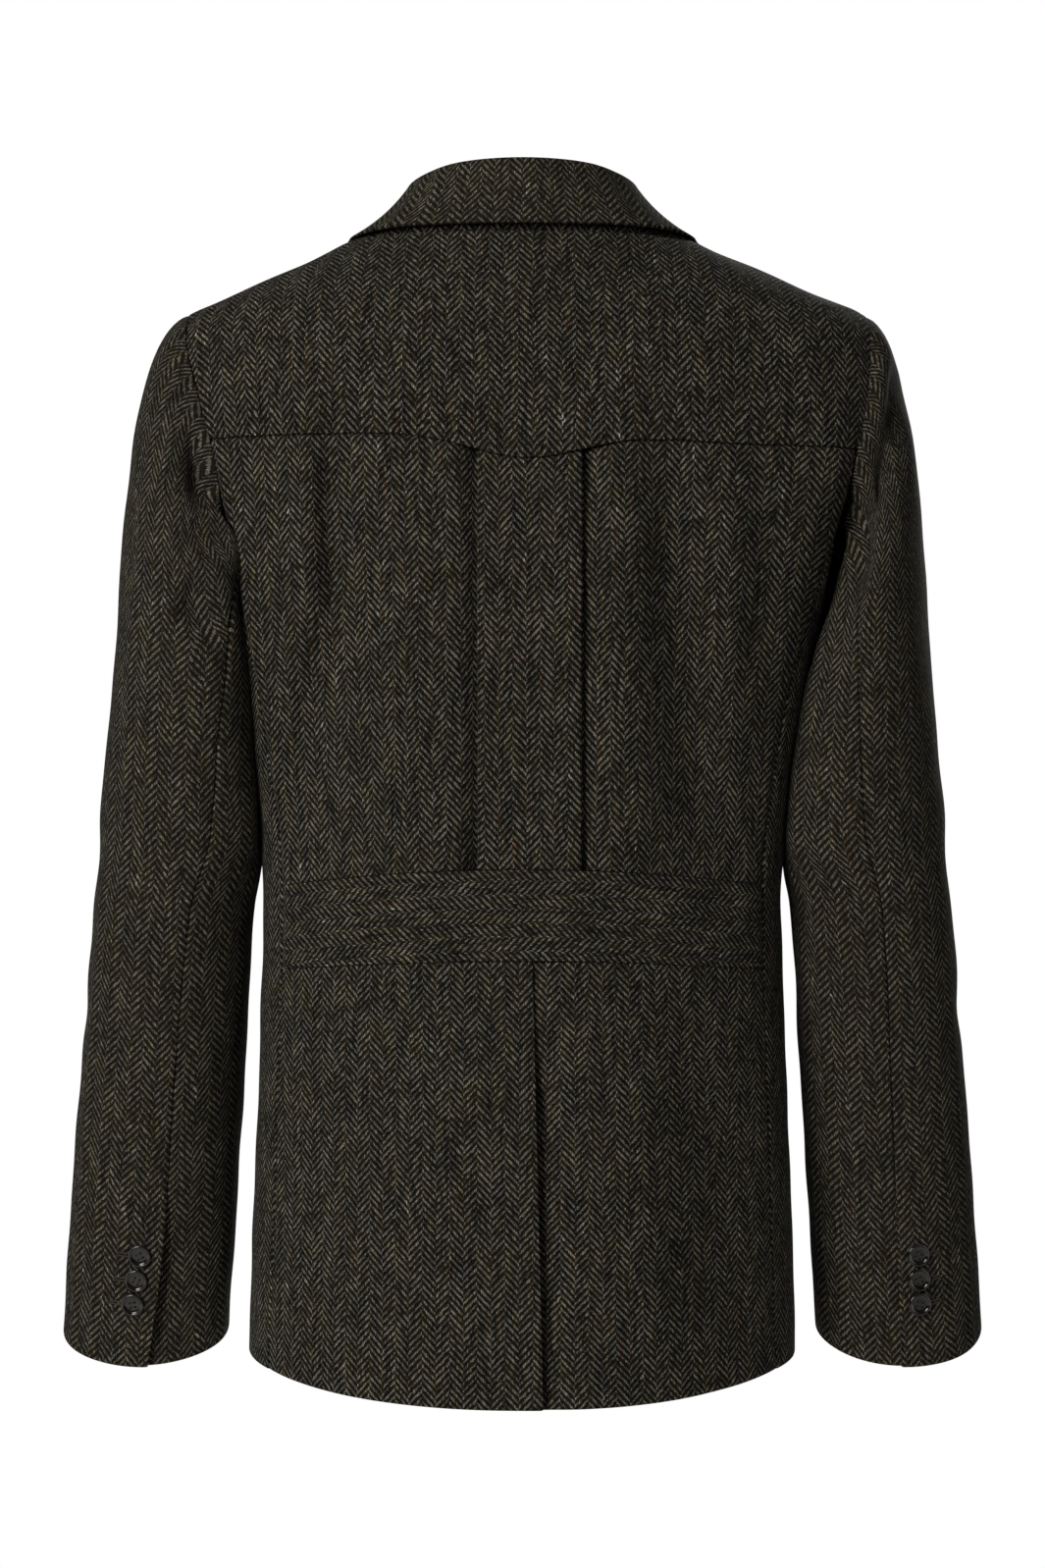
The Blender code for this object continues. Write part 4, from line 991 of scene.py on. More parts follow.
TOP_GRAIN, UNDER_GRAIN = 40, 150  # angles at which the grain runs along the arm
# Points across the under sleeve from below the top sleeve's edge to a little past it.
LAP_STATIONS = (-0.0090, -0.0078, -0.0055, -0.0026, -0.0006, 0.0002, 0.0010, 0.0020, 0.0034, 0.0056)
HIND_ROLL, HIND_ROLL_WIDTH = 0.0006, 0.0030  # of the top sleeve's edge at the hind-arm seam
LAP_SPAN, VENT_LAP_SPAN = (0.0002, 0.0013), 0.060  # where the under sleeve comes up, later in the vent
CUFF_GAPE = {1: 0.0034, -1: 0.0008}  # how far the vent's edge stands off
CUFF_GAPE_WIDTH = 0.010  # beside that edge
CUFF_GAPE_FOOT, CUFF_GAPE_RISE = 0.3, 0.03  # its share at the cuff, and the height over which it grows
CUFF_VENT, CUFF_VENT_SOFT = -0.630, 0.02  # height at which the hind-arm seam opens
CUFF_BUTTONS = (-0.6675, -0.684, -0.700)  # heights
CUFF_BUTTON_IN, CUFF_BUTTON_RADIUS = 0.013, 0.0075  # distance from the hind-arm edge, and size


@functools.cache
def armhole_line():
    """The left armhole's seam from the shoulder tip down the back and up the front, and its run."""
    share = np.linspace(0, 1, ARMHOLE_POINTS)
    down = SHOULDER_TIP + (BACK_NOTCH - SHOULDER_TIP) * share**ARMHOLE_POWER
    rise = SHOULDER_TIP + (FRONT_NOTCH - SHOULDER_TIP) * share[-2::-1] ** ARMHOLE_POWER
    back = torso(edge_angle("back", down), down)
    front = torso(edge_angle("front", rise), rise)
    line = np.concatenate([back, torso(*underarm(share[1:])), front])
    return line, run_along(line, 0)


def armhole(angle):
    """The armhole's point for a sleeve angle: 0 at the shoulder tip, 90 behind, 180 below."""
    line, length = armhole_line()
    lowest = length[np.argmin(line[:, 2])]
    share = np.mod(angle, 360) / 180
    place = np.where(share < 1, share * lowest, lowest + (share - 1) * (length[-1] - lowest))
    return np.stack([np.interp(place, length, line[:, k]) for k in range(3)], -1)


def arc(angle):
    """Length round the arm."""
    return np.radians(angle) * SLEEVE_RADIUS


def arm_height(place):
    """Height of the sleeve's section at a place below the armhole's foot."""
    return SLEEVE_TOP + np.minimum(place, 0) * (SLEEVE_TOP - CUFF)


def body_push(x, y, height):
    """How far to move points of the sleeve sideways, to clear the body."""
    square = TORSO("square", height)
    left = np.clip(1 - np.abs(y / ring_depth(y > 0, height)) ** square, 1e-6, 1)
    body = TORSO("half_width", height) * left ** (1 / square)
    return SLEEVE_SOFT * np.logaddexp(0, (body + SLEEVE_CLEAR - x) / SLEEVE_SOFT)


def sleeve_ring(angle, height):
    """A point on the sleeve below the armhole, its inner side pressed against the body."""
    turn = np.radians(angle)
    x = SLEEVE("centre_x", height) + SLEEVE("half_width", height) * np.cos(turn)
    across = SLEEVE("half_depth", height) * np.sin(turn)
    y = SLEEVE("centre_y", height) + across
    drop = SLEEVE("back_drop", height) * across
    return np.stack([x + body_push(x, y, height), y, height - drop], -1)


def sleeve(angle, place):
    """A point on the left sleeve. place is 1 at the armhole, 0 at its foot, -1 at the cuff."""
    angle, place = np.broadcast_arrays(np.asarray(angle, float), np.asarray(place, float))
    turn = np.radians(angle)
    (out, out_more), (down, down_less) = CAP_OUT, CAP_DOWN
    leave = [out + out_more * np.cos(turn), CAP_BACK * np.sin(turn), down + down_less * np.cos(turn)]
    leave = unit(np.stack(leave, -1))
    arrive = unit(np.array([ARM_SLANT, 0.0, -1.0]))
    start = armhole(angle) + leave * ARMHOLE_GAP
    end = sleeve_ring(angle, np.full_like(place, SLEEVE_TOP))
    reach = np.linalg.norm(end - start, axis=-1)[..., None]
    s = np.clip(1 - place, 0, 1)[..., None]
    cap = start * (1 + 2 * s) * (1 - s) ** 2 + end * s * s * (3 - 2 * s)
    bend = CAP_LEAVES * leave * s * (1 - s) ** 2 - CAP_ARRIVES * arrive * s * s * (1 - s)
    cap = cap + reach * bend
    x, y, z = np.moveaxis(cap, -1, 0)
    cap[..., 0] += body_push(x, y, z) * smooth(-z, *(-BACK_NOTCH - h for h in CAP_CLEARS))
    return np.where(place[..., None] > 0, cap, sleeve_ring(angle, arm_height(place)))


def sleeve_at(angle, place, out):
    """A point on the sleeve, moved out along its face's normal."""
    angle, place = np.broadcast_arrays(angle, place)
    inside = np.clip(place, -SLEEVE_ENDS, SLEEVE_ENDS)
    return sleeve(angle, place) - np.asarray(out)[..., None] * normals(sleeve, angle, inside)


def hind_seam(side, place):
    top = SLEEVE("seam_left" if side > 0 else "seam_right", arm_height(place))
    return top + HIND_SEAM_LEAN * np.maximum(place, 0)


def sleeve_rows():
    """Places from the cuff to the armhole."""
    arm = SLEEVE_TOP - CUFF
    rows = stations(arm + CAP_LENGTH) * (arm + CAP_LENGTH)
    return np.where(rows < arm, rows / arm - 1, (rows - arm) / CAP_LENGTH)[:, None]


def sleeve_folds(side, angle, height):
    rows = [row[:-1] for row in SLEEVE_FOLDS if row[-1] in (0, side)]
    rows = [(arc(a), low, arc(b), *rest) for a, low, b, *rest in rows]
    return folds(rows, arc(angle), height)


def sleeve_shell(name, angle, off, side, look, seed, grain):
    """A shell on a sleeve, whose weave runs along the arm at the grain's angle."""
    place = sleeve_rows()
    base = sleeve(angle, place)
    rim = armhole(angle)
    held = 1.0 if side > 0 else smooth(rim[..., 2], *TUCKED)
    depth = sleeve_folds(side, angle, base[..., 2]) * (1 - held * smooth(place, *HELD_ROWS))
    out = off + depth + ripple(arc(angle) + RIPPLE_SHIFT * side, base[..., 2])
    out = out - seam_sink(base, "u", *ARMHOLE_SINK[side])
    faces = [sleeve_at(angle, place, out), sleeve_at(angle, place, out - CLOTH)]
    run = run_along(base, 1)
    start = np.array([np.interp(grain, row, length) for row, length in zip(angle, run)])
    weave = weave_of(side * (run - start[:, None]), run_along(base, 0), seed, SLEEVE_WEAVE)
    if side < 0:
        *faces, rim = (mirrored(grid) for grid in (*faces, rim))
    pull = body_folds(rim) * (held * smooth(place, *PULLED_ROWS))[..., None]
    return shell(name, *(face + pull for face in faces), weave, look)


def top_sleeve(seam, closed, gape):
    """Angles across the top sleeve, and how far it stands off: rolled seams and the vent's edge."""
    first = FORE_SEAM - 360
    angle = first + stations(TOP_WIDTH)[None, :] * (seam - first)
    from_edge, from_fore = arc(seam - angle), arc(angle - first)
    roll = HIND_ROLL * closed * bell(from_edge, HIND_ROLL_WIDTH)
    lift = 0.5 * gape * bell(from_edge, CUFF_GAPE_WIDTH)
    return angle, lift - roll - SEAM_SINK * bell(from_fore, SEAM_WIDTH)


def under_sleeve(seam, closed, gape):
    """Angles across the under sleeve, and how far it stands off: both edges lie below the top's."""
    near = np.degrees(np.array(LAP_STATIONS) / SLEEVE_RADIUS)
    far = near[-1] + stations(UNDER_WIDTH)[1:-len(EDGE_STEPS)] * (FORE_SEAM - seam - near[-1])
    lap = FORE_SEAM - seam - np.degrees(SEAM_LAP[::-1] / SLEEVE_RADIUS)
    angle = seam + np.hstack([np.broadcast_to(near, (len(seam), len(near))), far, lap])
    low, high = LAP_SPAN
    rise = smooth(arc(angle - seam), low, high + VENT_LAP_SPAN * (1 - closed))
    return angle, -(LAP_DROP + gape) * (1 - rise) - lap_drop(arc(FORE_SEAM - angle))


def make_sleeve(name, side, look):
    place = sleeve_rows()
    height = arm_height(place)
    seam = hind_seam(side, place)
    closed = smooth(height, CUFF_VENT - CUFF_VENT_SOFT, CUFF_VENT + CUFF_VENT_SOFT)
    rise = smooth(height, CUFF, CUFF + CUFF_GAPE_RISE)
    opening = (1 - closed) * (CUFF_GAPE_FOOT + (1 - CUFF_GAPE_FOOT) * rise)
    gape = CUFF_GAPE[side] * opening
    pieces = []
    for part, make, seed, grain in (
        ("top", top_sleeve, 17, TOP_GRAIN),
        ("under", under_sleeve, 20, UNDER_GRAIN),
    ):
        angle, off = make(seam, closed, gape)
        label = f"sleeve_{name}_{part}"
        pieces.append(sleeve_shell(label, angle, off, side, look, seed + side, grain))
    return pieces


class Graph:
    """The nodes of a material or a world, added and joined."""

    def __init__(self, owner):
        owner.use_nodes = True
        self.owner = owner
        self.tree = owner.node_tree

    def put(self, socket, value):
        if isinstance(value, bpy.types.NodeSocket):
            self.tree.links.new(value, socket)
        else:
            socket.default_value = value

    def node(self, kind, inputs, output=0, **settings):
        """Adds a node, with settings by name and inputs by number or name, and gives one output."""
        item = self.tree.nodes.new("ShaderNode" + kind)
        for name, value in settings.items():
            setattr(item, name, value)
        for key, value in inputs.items():
            self.put(item.inputs[key], value)
        return item.outputs[output]

    def set(self, **values):
        """Sets the shader's sockets, whose names have spaces for the underscores."""
        for name, value in values.items():
            self.put(self.tree.nodes["Principled BSDF"].inputs[name.replace("_", " ")], value)

    def math(self, operation, *values):
        return self.node("Math", dict(enumerate(values)), operation=operation)

    def total(self, *values):
        return functools.reduce(functools.partial(self.math, "ADD"), values)

    def product(self, *values):
        return functools.reduce(functools.partial(self.math, "MULTIPLY"), values)

    def between(self, value, low, high, start=0.0, end=1.0, curve="SMOOTHSTEP"):
        """start below low, end above high, and a curve between."""
        inputs = dict(enumerate((value, low, high, start, end)))
        return self.node("MapRange", inputs, interpolation_type=curve)

    def vector(self, x, y, z=0.0):
        return self.node("CombineXYZ", {0: x, 1: y, 2: z})

    def parts(self, vector):
        node = self.tree.nodes.new("ShaderNodeSeparateXYZ")
        self.put(node.inputs[0], vector)
        return node.outputs

    def noise(self, vector, size, detail=2.0):
        """Smooth noise about 0.5 whose patches have a size in the vector's own unit."""
        return self.node("TexNoise", {"Vector": vector, "Scale": 1 / size, "Detail": detail}, "Fac")

    def chance(self, vector):
        """An even random number for each whole vector."""
        return self.node("TexWhiteNoise", {"Vector": vector}, "Value")

    def mix(self, share, first, second):
        return self.node("Mix", {0: share, 6: first, 7: second}, 2, data_type="RGBA")

    def bump(self, height, strength, distance):
        inputs = {"Height": height, "Strength": strength, "Distance": distance}
        self.set(Normal=self.node("Bump", inputs, "Normal"))

    def object_place(self):
        return self.node("TexCoord", {}, "Object")


def new_look(name):
    return Graph(bpy.data.materials.new(name))


DARK_YARN = (0.0022, 0.0017, 0.0008, 1)
BROWN_YARN = (0.0143, 0.0110, 0.0058, 1)
GREY_YARN = (0.212, 0.207, 0.192, 1)
TAN_YARN = (0.263, 0.238, 0.178, 1)
FLECKS = (  # colour, and the part of the cloth's light threads that has it
    ((0.300, 0.245, 0.135, 1), 0.014),
    ((0.250, 0.150, 0.105, 1), 0.012),
    ((0.140, 0.178, 0.172, 1), 0.014),
    ((0.205, 0.225, 0.130, 1), 0.014),
    ((0.560, 0.540, 0.480, 1), 0.008),
)
SWAY_PATCH, JITTER_PATCH, TONE_PATCH, FUZZ_PATCH = 0.020, 0.0026, 0.030, 0.0007  # sizes of uneven spots
THREAD_SWAY, THREAD_JITTER, LINE_JITTER, EDGE_JITTER = 0.0012, 0.0008, 0.0012, 1.8
YARN_GRAIN, TUFT_GRAIN = (0.31, 28.0), (0.53, 90.0)  # noise for each thread, and each metre along it
SEED_SHIFT, TUFT_SEED = 0.37, 40.0  # set the pieces' noise, and the tufts', apart
RUBBED_SEED = 15.5  # pieces numbered above this, collar and sleeves, show less of the light warp


def herringbone(g, across, along, place, jitter):
    """The warp thread's number with its part, its column, and the number of the twill line."""
    sway = g.math("SUBTRACT", g.noise(place, SWAY_PATCH), 0.5)
    uneven = g.total(across, g.product(sway, THREAD_SWAY), g.product(jitter, THREAD_JITTER))
    end = g.product(uneven, ENDS / PERIOD)
    half = ENDS / 2
    column = g.math("FLOOR", g.math("DIVIDE", end, half))
    odd = g.math("FLOORED_MODULO", column, 2.0)
    slant = g.product(g.math("PINGPONG", end, half), 0.25)
    rise = g.product(g.total(along, g.product(jitter, LINE_JITTER)), 1 / PITCH)
    return end, column, g.total(rise, slant, g.product(odd, 0.5))


def along_threads(g, thread, along, seed, grain, detail):
    """Noise stretched along the warp threads."""
    across, up = grain
    return g.noise(g.vector(g.product(thread, across), g.product(along, up), seed), 1.0, detail)


def flecked(g, colour, tuft, near):
    """The light yarn with a few coloured tufts, picked by the random number tuft."""
    low = 0.0
    for fleck, part in FLECKS:
        above, below = g.math("GREATER_THAN", tuft, low), g.math("LESS_THAN", tuft, low + part)
        inside = g.product(above, below)
        colour = g.mix(g.product(inside, g.between(near, 0.35, 0.60)), colour, fleck)
        low += part
    return colour


def tweed():
    """An 8-end herringbone of light woollen warp on a near-black weft, with flecks."""
    g = new_look("tweed")
    across, along, seed = g.parts(g.node("Attribute", {}, "Vector", attribute_name="weave"))
    shift = g.product(seed, SEED_SHIFT)
    place = g.vector(across, along, shift)
    jitter = g.math("SUBTRACT", g.noise(place, JITTER_PATCH, 1.0), 0.5)
    end, column, line = herringbone(g, across, along, place, jitter)
    thread = g.math("FLOOR", end)
    bead = g.math("COSINE", g.product(end, 2 * math.pi))
    bead = g.math("MULTIPLY_ADD", bead, -0.5, 0.5)
    luck = g.chance(g.vector(thread, g.math("FLOOR", line), g.total(seed, column)))
    yarn = along_threads(g, thread, along, seed, YARN_GRAIN, 3.0)
    fuzz = g.noise(place, FUZZ_PATCH, 2.0)
    rubbed = g.math("GREATER_THAN", seed, RUBBED_SEED)
    wave = g.math("SINE", g.product(line, 2 * math.pi))
    shown = g.between(g.total(wave, g.product(jitter, EDGE_JITTER)), -0.45, 1.10)
    light = g.product(
        shown,
        g.math("MULTIPLY_ADD", rubbed, -0.12, 1.0),
        g.math("MULTIPLY_ADD", bead, 0.33, 0.18),
        g.math("MULTIPLY_ADD", luck, 1.25, 0.22),
        g.between(yarn, 0.30, 0.68, 0.84, 1.16),
        g.between(g.noise(place, TONE_PATCH, 3.0), 0.30, 0.70, 0.86, 1.14),
        g.between(fuzz, 0.27, 0.73, 0.10, 2.10),
    )
    pair, double = (g.math("FLOOR", g.product(number, 0.5)) for number in (thread, line))
    tuft = g.chance(g.vector(pair, double, shift))
    near = along_threads(g, thread, along, g.total(seed, TUFT_SEED), TUFT_GRAIN, 1.0)
    colour = g.mix(g.between(yarn, 0.40, 0.62), GREY_YARN, TAN_YARN)
    colour = flecked(g, colour, tuft, near)
    weft = g.math("COSINE", g.product(line, 4 * math.pi))
    tone = g.total(yarn, fuzz, g.product(weft, -0.16), g.product(rubbed, 0.12))
    ground = g.mix(g.between(tone, 0.70, 1.30), DARK_YARN, BROWN_YARN)
    g.set(
        Base_Color=g.mix(light, ground, colour),
        Roughness=0.92,
        Specular_IOR_Level=0.02,
        Sheen_Weight=0.03,
        Sheen_Roughness=0.45,
        Sheen_Tint=(0.75, 0.76, 0.80, 1),
    )
    relief = g.product(shown, g.math("MULTIPLY_ADD", bead, 0.5, 0.5))
    g.bump(g.total(relief, g.product(fuzz, 0.9)), 0.35, 0.0006)
    return g.owner


def horn():
    """Dark polished horn with faint cloudy streaks."""
    g = new_look("horn")
    place = g.object_place()
    cloud = g.between(g.noise(place, 0.004, 3.0), 0.35, 0.65)
    grain = g.noise(place, 0.0006, 2.0)
    g.set(
        Base_Color=g.mix(cloud, (0.0030, 0.0024, 0.0020, 1), (0.0110, 0.0072, 0.0048, 1)),
        Roughness=g.between(grain, 0.2, 0.8, 0.07, 0.13),
        Specular_IOR_Level=0.50,
    )
    g.bump(grain, 0.015, 0.0002)
    return g.owner


def thread():
    """Dark twisted sewing thread."""
    g = new_look("thread")
    ply = g.noise(g.object_place(), 0.0005, 2.0)
    colour = g.mix(ply, (0.012, 0.009, 0.006, 1), (0.050, 0.036, 0.022, 1))
    g.set(Base_Color=colour, Roughness=0.7, Specular_IOR_Level=0.25)
    g.bump(ply, 0.5, 0.0003)
    return g.owner


# A button's section: share of the radius, and height in millimetres, from under its middle
# round its rim and into its dish.
BUTTON = (
    (0.00, 0.45), (0.55, 0.45), (0.80, 0.60), (0.95, 1.00), (1.00, 1.55), (0.99, 2.05),
    (0.95, 2.55), (0.88, 2.85), (0.80, 2.80), (0.74, 2.45), (0.69, 2.10), (0.60, 1.95),
    (0.40, 1.92), (0.00, 1.92),
)
BUTTON_SEGMENTS, HOLE_SEGMENTS = 48, 14
BUTTON_CREASE = 50  # faces that meet at more than this keep a sharp edge
HOLE_SHARE, HOLE_OFF = 0.105, 0.21  # radius and distance from the middle, of the button's radius
DRILL = (-0.001, 0.004)  # heights from which and to which the holes go


def lathe(profile, segments):
    """Points and faces of a closed turned solid from (radius, height) pairs that start and end at 0."""
    turn = 2 * np.pi * np.arange(segments) / segments
    rings = [np.stack([r * np.cos(turn), r * np.sin(turn), 0 * turn + h], -1) for r, h in profile[1:-1]]
    points = np.concatenate([[(0, 0, profile[0][1])], *rings, [(0, 0, profile[-1][1])]])
    last, here = len(points) - 1, np.arange(segments)
    after = (here + 1) % segments
    faces = [(0, 1 + b, 1 + a) for a, b in zip(here, after)]
    for ring in range(len(rings) - 1):
        low, high = 1 + ring * segments, 1 + (ring + 1) * segments
        faces += [(low + a, low + b, high + b, high + a) for a, b in zip(here, after)]
    top = 1 + (len(rings) - 1) * segments
    faces += [(last, top + a, top + b) for a, b in zip(here, after)]
    return points, [tuple(int(k) for k in face) for face in faces]


def solid(name, points, faces):
    """A plain object for cutting."""
    mesh = bpy.data.meshes.new(name)
    mesh.from_pydata([tuple(p) for p in points], [], faces)
    mesh.update()
    return linked(name, mesh)


def drilled_button(radius):
    """A round four-hole button on the origin, facing +Z."""
    profile = [(share * radius, lift / 1000) for share, lift in BUTTON]
    body = solid("blank", *lathe(profile, BUTTON_SEGMENTS))
    size, off = HOLE_SHARE * radius, HOLE_OFF * radius
    low, high = DRILL
    pin, pin_faces = lathe([(0, low), (size, low), (size, high), (0, high)], HOLE_SEGMENTS)
    points, faces = [], []
    for x, y in ((off, off), (-off, off), (-off, -off), (off, -off)):
        faces += [tuple(k + len(pin) * len(points) for k in face) for face in pin_faces]
        points.append(pin + np.array([x, y, 0]))
    drill = solid("drill", np.concatenate(points), faces)
    cut = body.modifiers.new("holes", "BOOLEAN")
    cut.object = drill
    cut.solver = "EXACT"
    result = bpy.data.meshes.new_from_object(body.evaluated_get(bpy.context.evaluated_depsgraph_get()))
    for item in (body, drill):
        bpy.data.objects.remove(item)
    return result


def facing(centre, out, spin):
    """Where things turned to face out go: three directions, spun about out in radians, and a base."""
    side = unit(np.cross(UP, out))
    other = np.cross(out, side)
    c, s = math.cos(spin), math.sin(spin)
    return np.stack([c * side + s * other, c * other - s * side, out]), centre


def add_button(name, place, radius, material):
    mesh = drilled_button(radius)
    points = np.empty(len(mesh.vertices) * 3)
    mesh.vertices.foreach_get("co", points)
    basis, centre = place
    moved = points.reshape(-1, 3) @ basis + centre
    mesh.vertices.foreach_set("co", moved.ravel())
    mesh.polygons.foreach_set("use_smooth", np.ones(len(mesh.polygons), bool))
    mesh.materials.clear()
    mesh.materials.append(material)
    mesh.set_sharp_from_angle(angle=math.radians(BUTTON_CREASE))
    mesh.update()
    piece = linked(name + "_horn", mesh)
    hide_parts(name)
    return piece


BUTTON_LIFT = 0.0003
BUTTON_SPINS = (0.5, 1.1, 0.2)  # radians, one for each button down a cuff
FRONT_SPIN = 0.3  # radians, more for each button down the front
FRONT_BUTTONS, FRONT_BUTTON_RADIUS = (-0.372, -0.470), 0.0100
CENTRE_X = 1e-6  # of the front buttons, all but on the centre front
TUBE_TIP = 0.15  # share of a tube's radius at its ends
THREAD_RADIUS, STRAND_OFF = 0.0003, 0.00025
BAR_LOW, BAR_RISE = 0.0016, 0.0008  # heights of a bar of thread over the button's foot
CUFF_HOLE, CUFF_HOLE_AT = 0.015, 0.0075  # length of a worked buttonhole, and its middle past the button's
FRONT_HOLE, FRONT_HOLE_AT = 0.024, -0.004
HOLE_POINTS, HOLE_STRAIGHT, HOLE_BLUNT = 60, 1.6, 0.6  # points round its loop, and the loop's form
HOLE_HALF_WIDTH, HOLE_CORD, HOLE_LIFT = 0.0009, 0.00055, 0.0004


def tube(path, radius, sides=6):
    """Points and quads of a round tube along a path, which shrinks at both ends."""
    along = unit(np.gradient(path, axis=0))
    guide = np.where(np.abs(along[:, 2:3]) > 0.9, [1.0, 0, 0], UP)
    first = unit(np.cross(along, guide))
    second = np.cross(along, first)
    size = np.full(len(path), radius)
    size[[0, -1]] = radius * TUBE_TIP
    turn = 2 * np.pi * np.arange(sides) / sides
    ring = first[:, None] * np.cos(turn)[:, None] + second[:, None] * np.sin(turn)[:, None]
    points = (path[:, None] + ring * size[:, None, None]).reshape(-1, 3)
    index = np.arange(len(points)).reshape(len(path), sides)
    after = np.roll(index, -1, 1)
    quads = np.stack([index[:-1], after[:-1], after[1:], index[1:]], -1).reshape(-1, 4)
    return points, quads


def joined(tubes):
    points, quads, count = [], [], 0
    for p, q in tubes:
        points.append(p)
        quads.append(q + count)
        count += len(p)
    return np.concatenate(points), np.concatenate(quads)


def button_threads(place, radius):
    """Two bars of thread between a button's holes, of two strands each."""
    basis, centre = place
    off = HOLE_OFF * radius
    t = np.linspace(0, np.pi, 9)
    bars = []
    for y in (-off, off):
        for strand in (-STRAND_OFF, STRAND_OFF):
            lift = BAR_LOW + BAR_RISE * np.sin(t)
            path = np.stack([-off * np.cos(t), np.full_like(t, y + strand), lift], -1)
            bars.append(tube(path @ basis + centre, THREAD_RADIUS))
    return bars


def buttonhole(surface, length):
    """A worked buttonhole: a long narrow loop of close stitches. surface places (x, y) on the cloth."""
    turn = np.linspace(0, 2 * np.pi, HOLE_POINTS)
    x = np.clip(np.cos(turn) * HOLE_STRAIGHT, -1, 1) * length / 2
    y = np.sign(np.sin(turn)) * np.abs(np.sin(turn)) ** HOLE_BLUNT * HOLE_HALF_WIDTH
    return tube(np.stack([surface(a, b) for a, b in zip(x, y)]), HOLE_CORD)


def cuff_place(side, height, along=0.0, up=0.0, lift=0.0):
    """A point on the cuff beside a button and the direction out of the cloth there."""
    place = (height - SLEEVE_TOP) / (SLEEVE_TOP - CUFF)
    angle = hind_seam(side, place) - np.degrees((CUFF_BUTTON_IN + along) / SLEEVE_RADIUS)
    drop = SLEEVE("back_drop", height) * SLEEVE("half_depth", height)
    place = place + (drop + up) / (SLEEVE_TOP - CUFF)
    out = -normals(sleeve, angle, place)
    centre = sleeve(angle, place) + out * lift
    if side < 0:
        centre, out = mirrored(centre), mirrored(out)
    return centre, out


def cuff_hole(side, height, a, b):
    return cuff_place(side, height, CUFF_HOLE_AT + a, b, HOLE_LIFT)[0]


def front_hole(height, a, b):
    return on_front(FRONT_HOLE_AT + a, height + b, HOLE_LIFT)


def sewn_row(label, thread_name, spots, radius, hole, material, sewing):
    """A row of buttons from their places and buttonholes, and one piece of all its thread."""
    pieces, bars = [], []
    for number, (place, surface) in enumerate(spots, 1):
        pieces.append(add_button(f"{label}_{number}", place, radius, material))
        bars += button_threads(place, radius)
        bars.append(buttonhole(surface, hole))
    pieces.append(mesh_object(thread_name, *joined(bars), sewing))
    return pieces


def make_buttons(material, sewing):
    pieces = []
    for name, side in SIDES:
        spots = []
        for height, spin in zip(CUFF_BUTTONS, BUTTON_SPINS):
            place = facing(*cuff_place(side, height, lift=BUTTON_LIFT), spin * side)
            spots.append((place, functools.partial(cuff_hole, side, height)))
        names = f"sleeve_button_{name}", f"sleeve_threads_{name}"
        pieces += sewn_row(*names, spots, CUFF_BUTTON_RADIUS, CUFF_HOLE, material, sewing)
    spots = []
    for number, height in enumerate(FRONT_BUTTONS, 1):
        centre = on_front(CENTRE_X, height, BUTTON_LIFT)
        out = unit(on_front(CENTRE_X, height, 0.01) - centre)
        place = facing(centre, out, FRONT_SPIN * number)
        spots.append((place, functools.partial(front_hole, height)))
    names = "front_button", "front_threads"
    return pieces + sewn_row(*names, spots, FRONT_BUTTON_RADIUS, FRONT_HOLE, material, sewing)


def make_cloth(look):
    pieces = [make_yoke(look), make_back_panel(look), make_belt(look), make_collar(look)]
    for name, side in SIDES:
        pieces.append(make_skirt(f"back_skirt_{name}", side, look))
        pieces.append(make_side(f"side_{name}", side, look))
        pieces.append(make_front(f"front_{name}", side, look))
        pieces.append(make_lapel(f"lapel_{name}", side, look))
        pieces += make_sleeve(name, side, look)
    return pieces


CAMERA_AT = (0.0, 2.1, -0.361)
FOCAL_PIXELS, HALF_HEIGHT_PIXELS = 3281, 799  # of the photograph
SENSOR = 36.0
LIGHTS = (  # name, place, aim, size and power
    ("key", (1.52, 2.42, 0.62), (0, 0, -0.30), (1.2, 1.6), 74),
    ("front_key", (-1.2, -2.4, 0.8), (0, 0, -0.35), (1.5, 1.6), 60),
)
AMBIENT = 0.11
ROOM = (0.0, 0.50, 2.2, 0.04)  # where the room darkens along Y, and how light its sides and its ends are
FLOOR_HEIGHT, FLOOR_SIZE = -1.45, 4.4


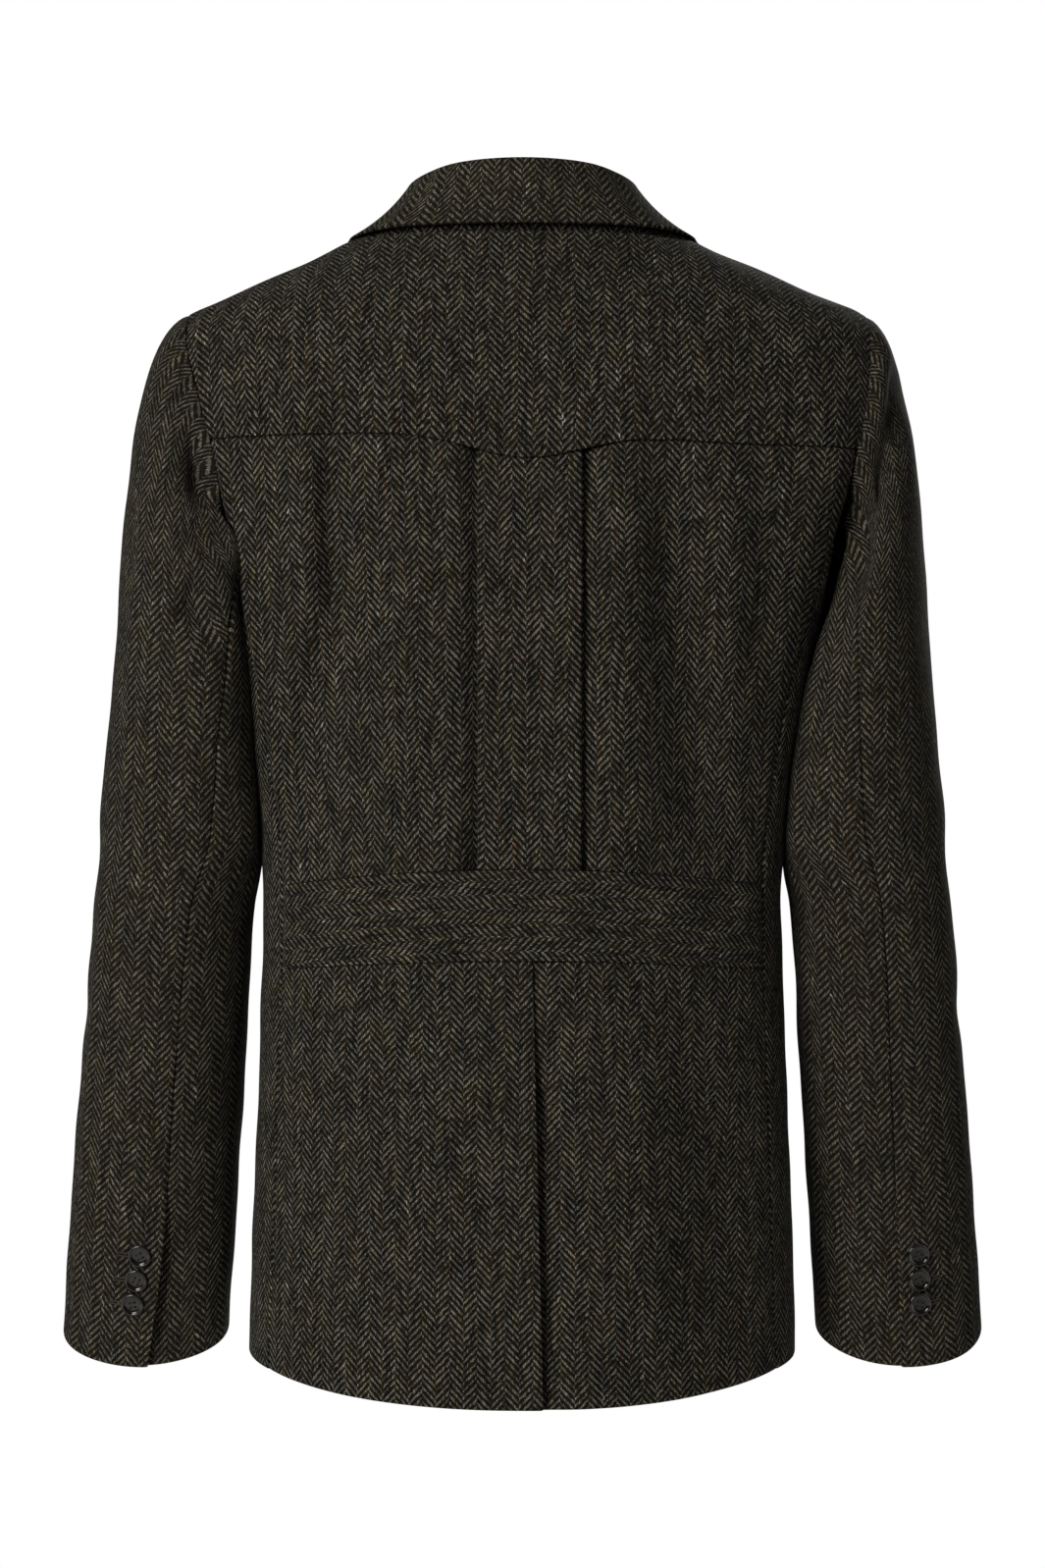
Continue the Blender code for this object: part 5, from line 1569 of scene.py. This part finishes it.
def make_camera():
    data = bpy.data.cameras.new("camera")
    data.sensor_fit = "VERTICAL"
    data.sensor_height = SENSOR
    data.lens = SENSOR / 2 * FOCAL_PIXELS / HALF_HEIGHT_PIXELS
    camera = linked("camera", data)
    camera.location = CAMERA_AT
    camera.rotation_euler = (math.pi / 2, 0, math.pi)
    bpy.context.scene.camera = camera


def add_light(name, at, aim, size, power):
    data = bpy.data.lights.new(name, "AREA")
    data.shape = "RECTANGLE"
    data.size, data.size_y = size
    data.energy = power
    light = linked(name, data)
    light.location = at
    toward = np.array(aim) - np.array(at)
    flat = math.hypot(toward[0], toward[1])
    light.rotation_euler = (math.atan2(flat, -toward[2]), 0, math.atan2(-toward[0], toward[1]))


def make_world():
    """White where the camera sees it, a softer light on the cloth, and for gloss a room with dark ends."""
    g = Graph(bpy.data.worlds.new("studio"))
    depth = g.math("ABSOLUTE", g.parts(g.node("TexCoord", {}, "Generated"))["Y"])
    white = {"Color": (1, 1, 1, 1)}
    result = g.node("Background", {**white, "Strength": AMBIENT})
    room = g.between(depth, *ROOM, curve="LINEAR")
    for ray, strength in (("Is Glossy Ray", room), ("Is Camera Ray", 1.0)):
        light = g.node("Background", {**white, "Strength": strength})
        share = g.node("LightPath", {}, ray)
        result = g.node("MixShader", {0: share, 1: result, 2: light})
    g.put(g.tree.nodes["World Output"].inputs["Surface"], result)
    bpy.context.scene.world = g.owner


def make_floor():
    g = new_look("floor")
    tone = g.noise(g.object_place(), 0.4, 3.0)
    g.set(Base_Color=g.mix(tone, (0.86, 0.86, 0.86, 1), (0.90, 0.90, 0.90, 1)), Roughness=0.8)
    half = FLOOR_SIZE / 2
    corners = np.array([(-half, -half), (half, -half), (half, half), (-half, half)])
    points = np.column_stack([corners, np.full(4, FLOOR_HEIGHT)])
    floor = mesh_object("floor", points, np.array([[0, 1, 2, 3]]), g.owner)


def main():
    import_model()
    for piece in make_cloth(tweed()) + make_buttons(horn(), thread()):
        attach(piece, "root")
    make_camera()
    for light in LIGHTS:
        add_light(*light)
    make_world()
    make_floor()
    bpy.context.scene.view_settings.view_transform = "Standard"


main()
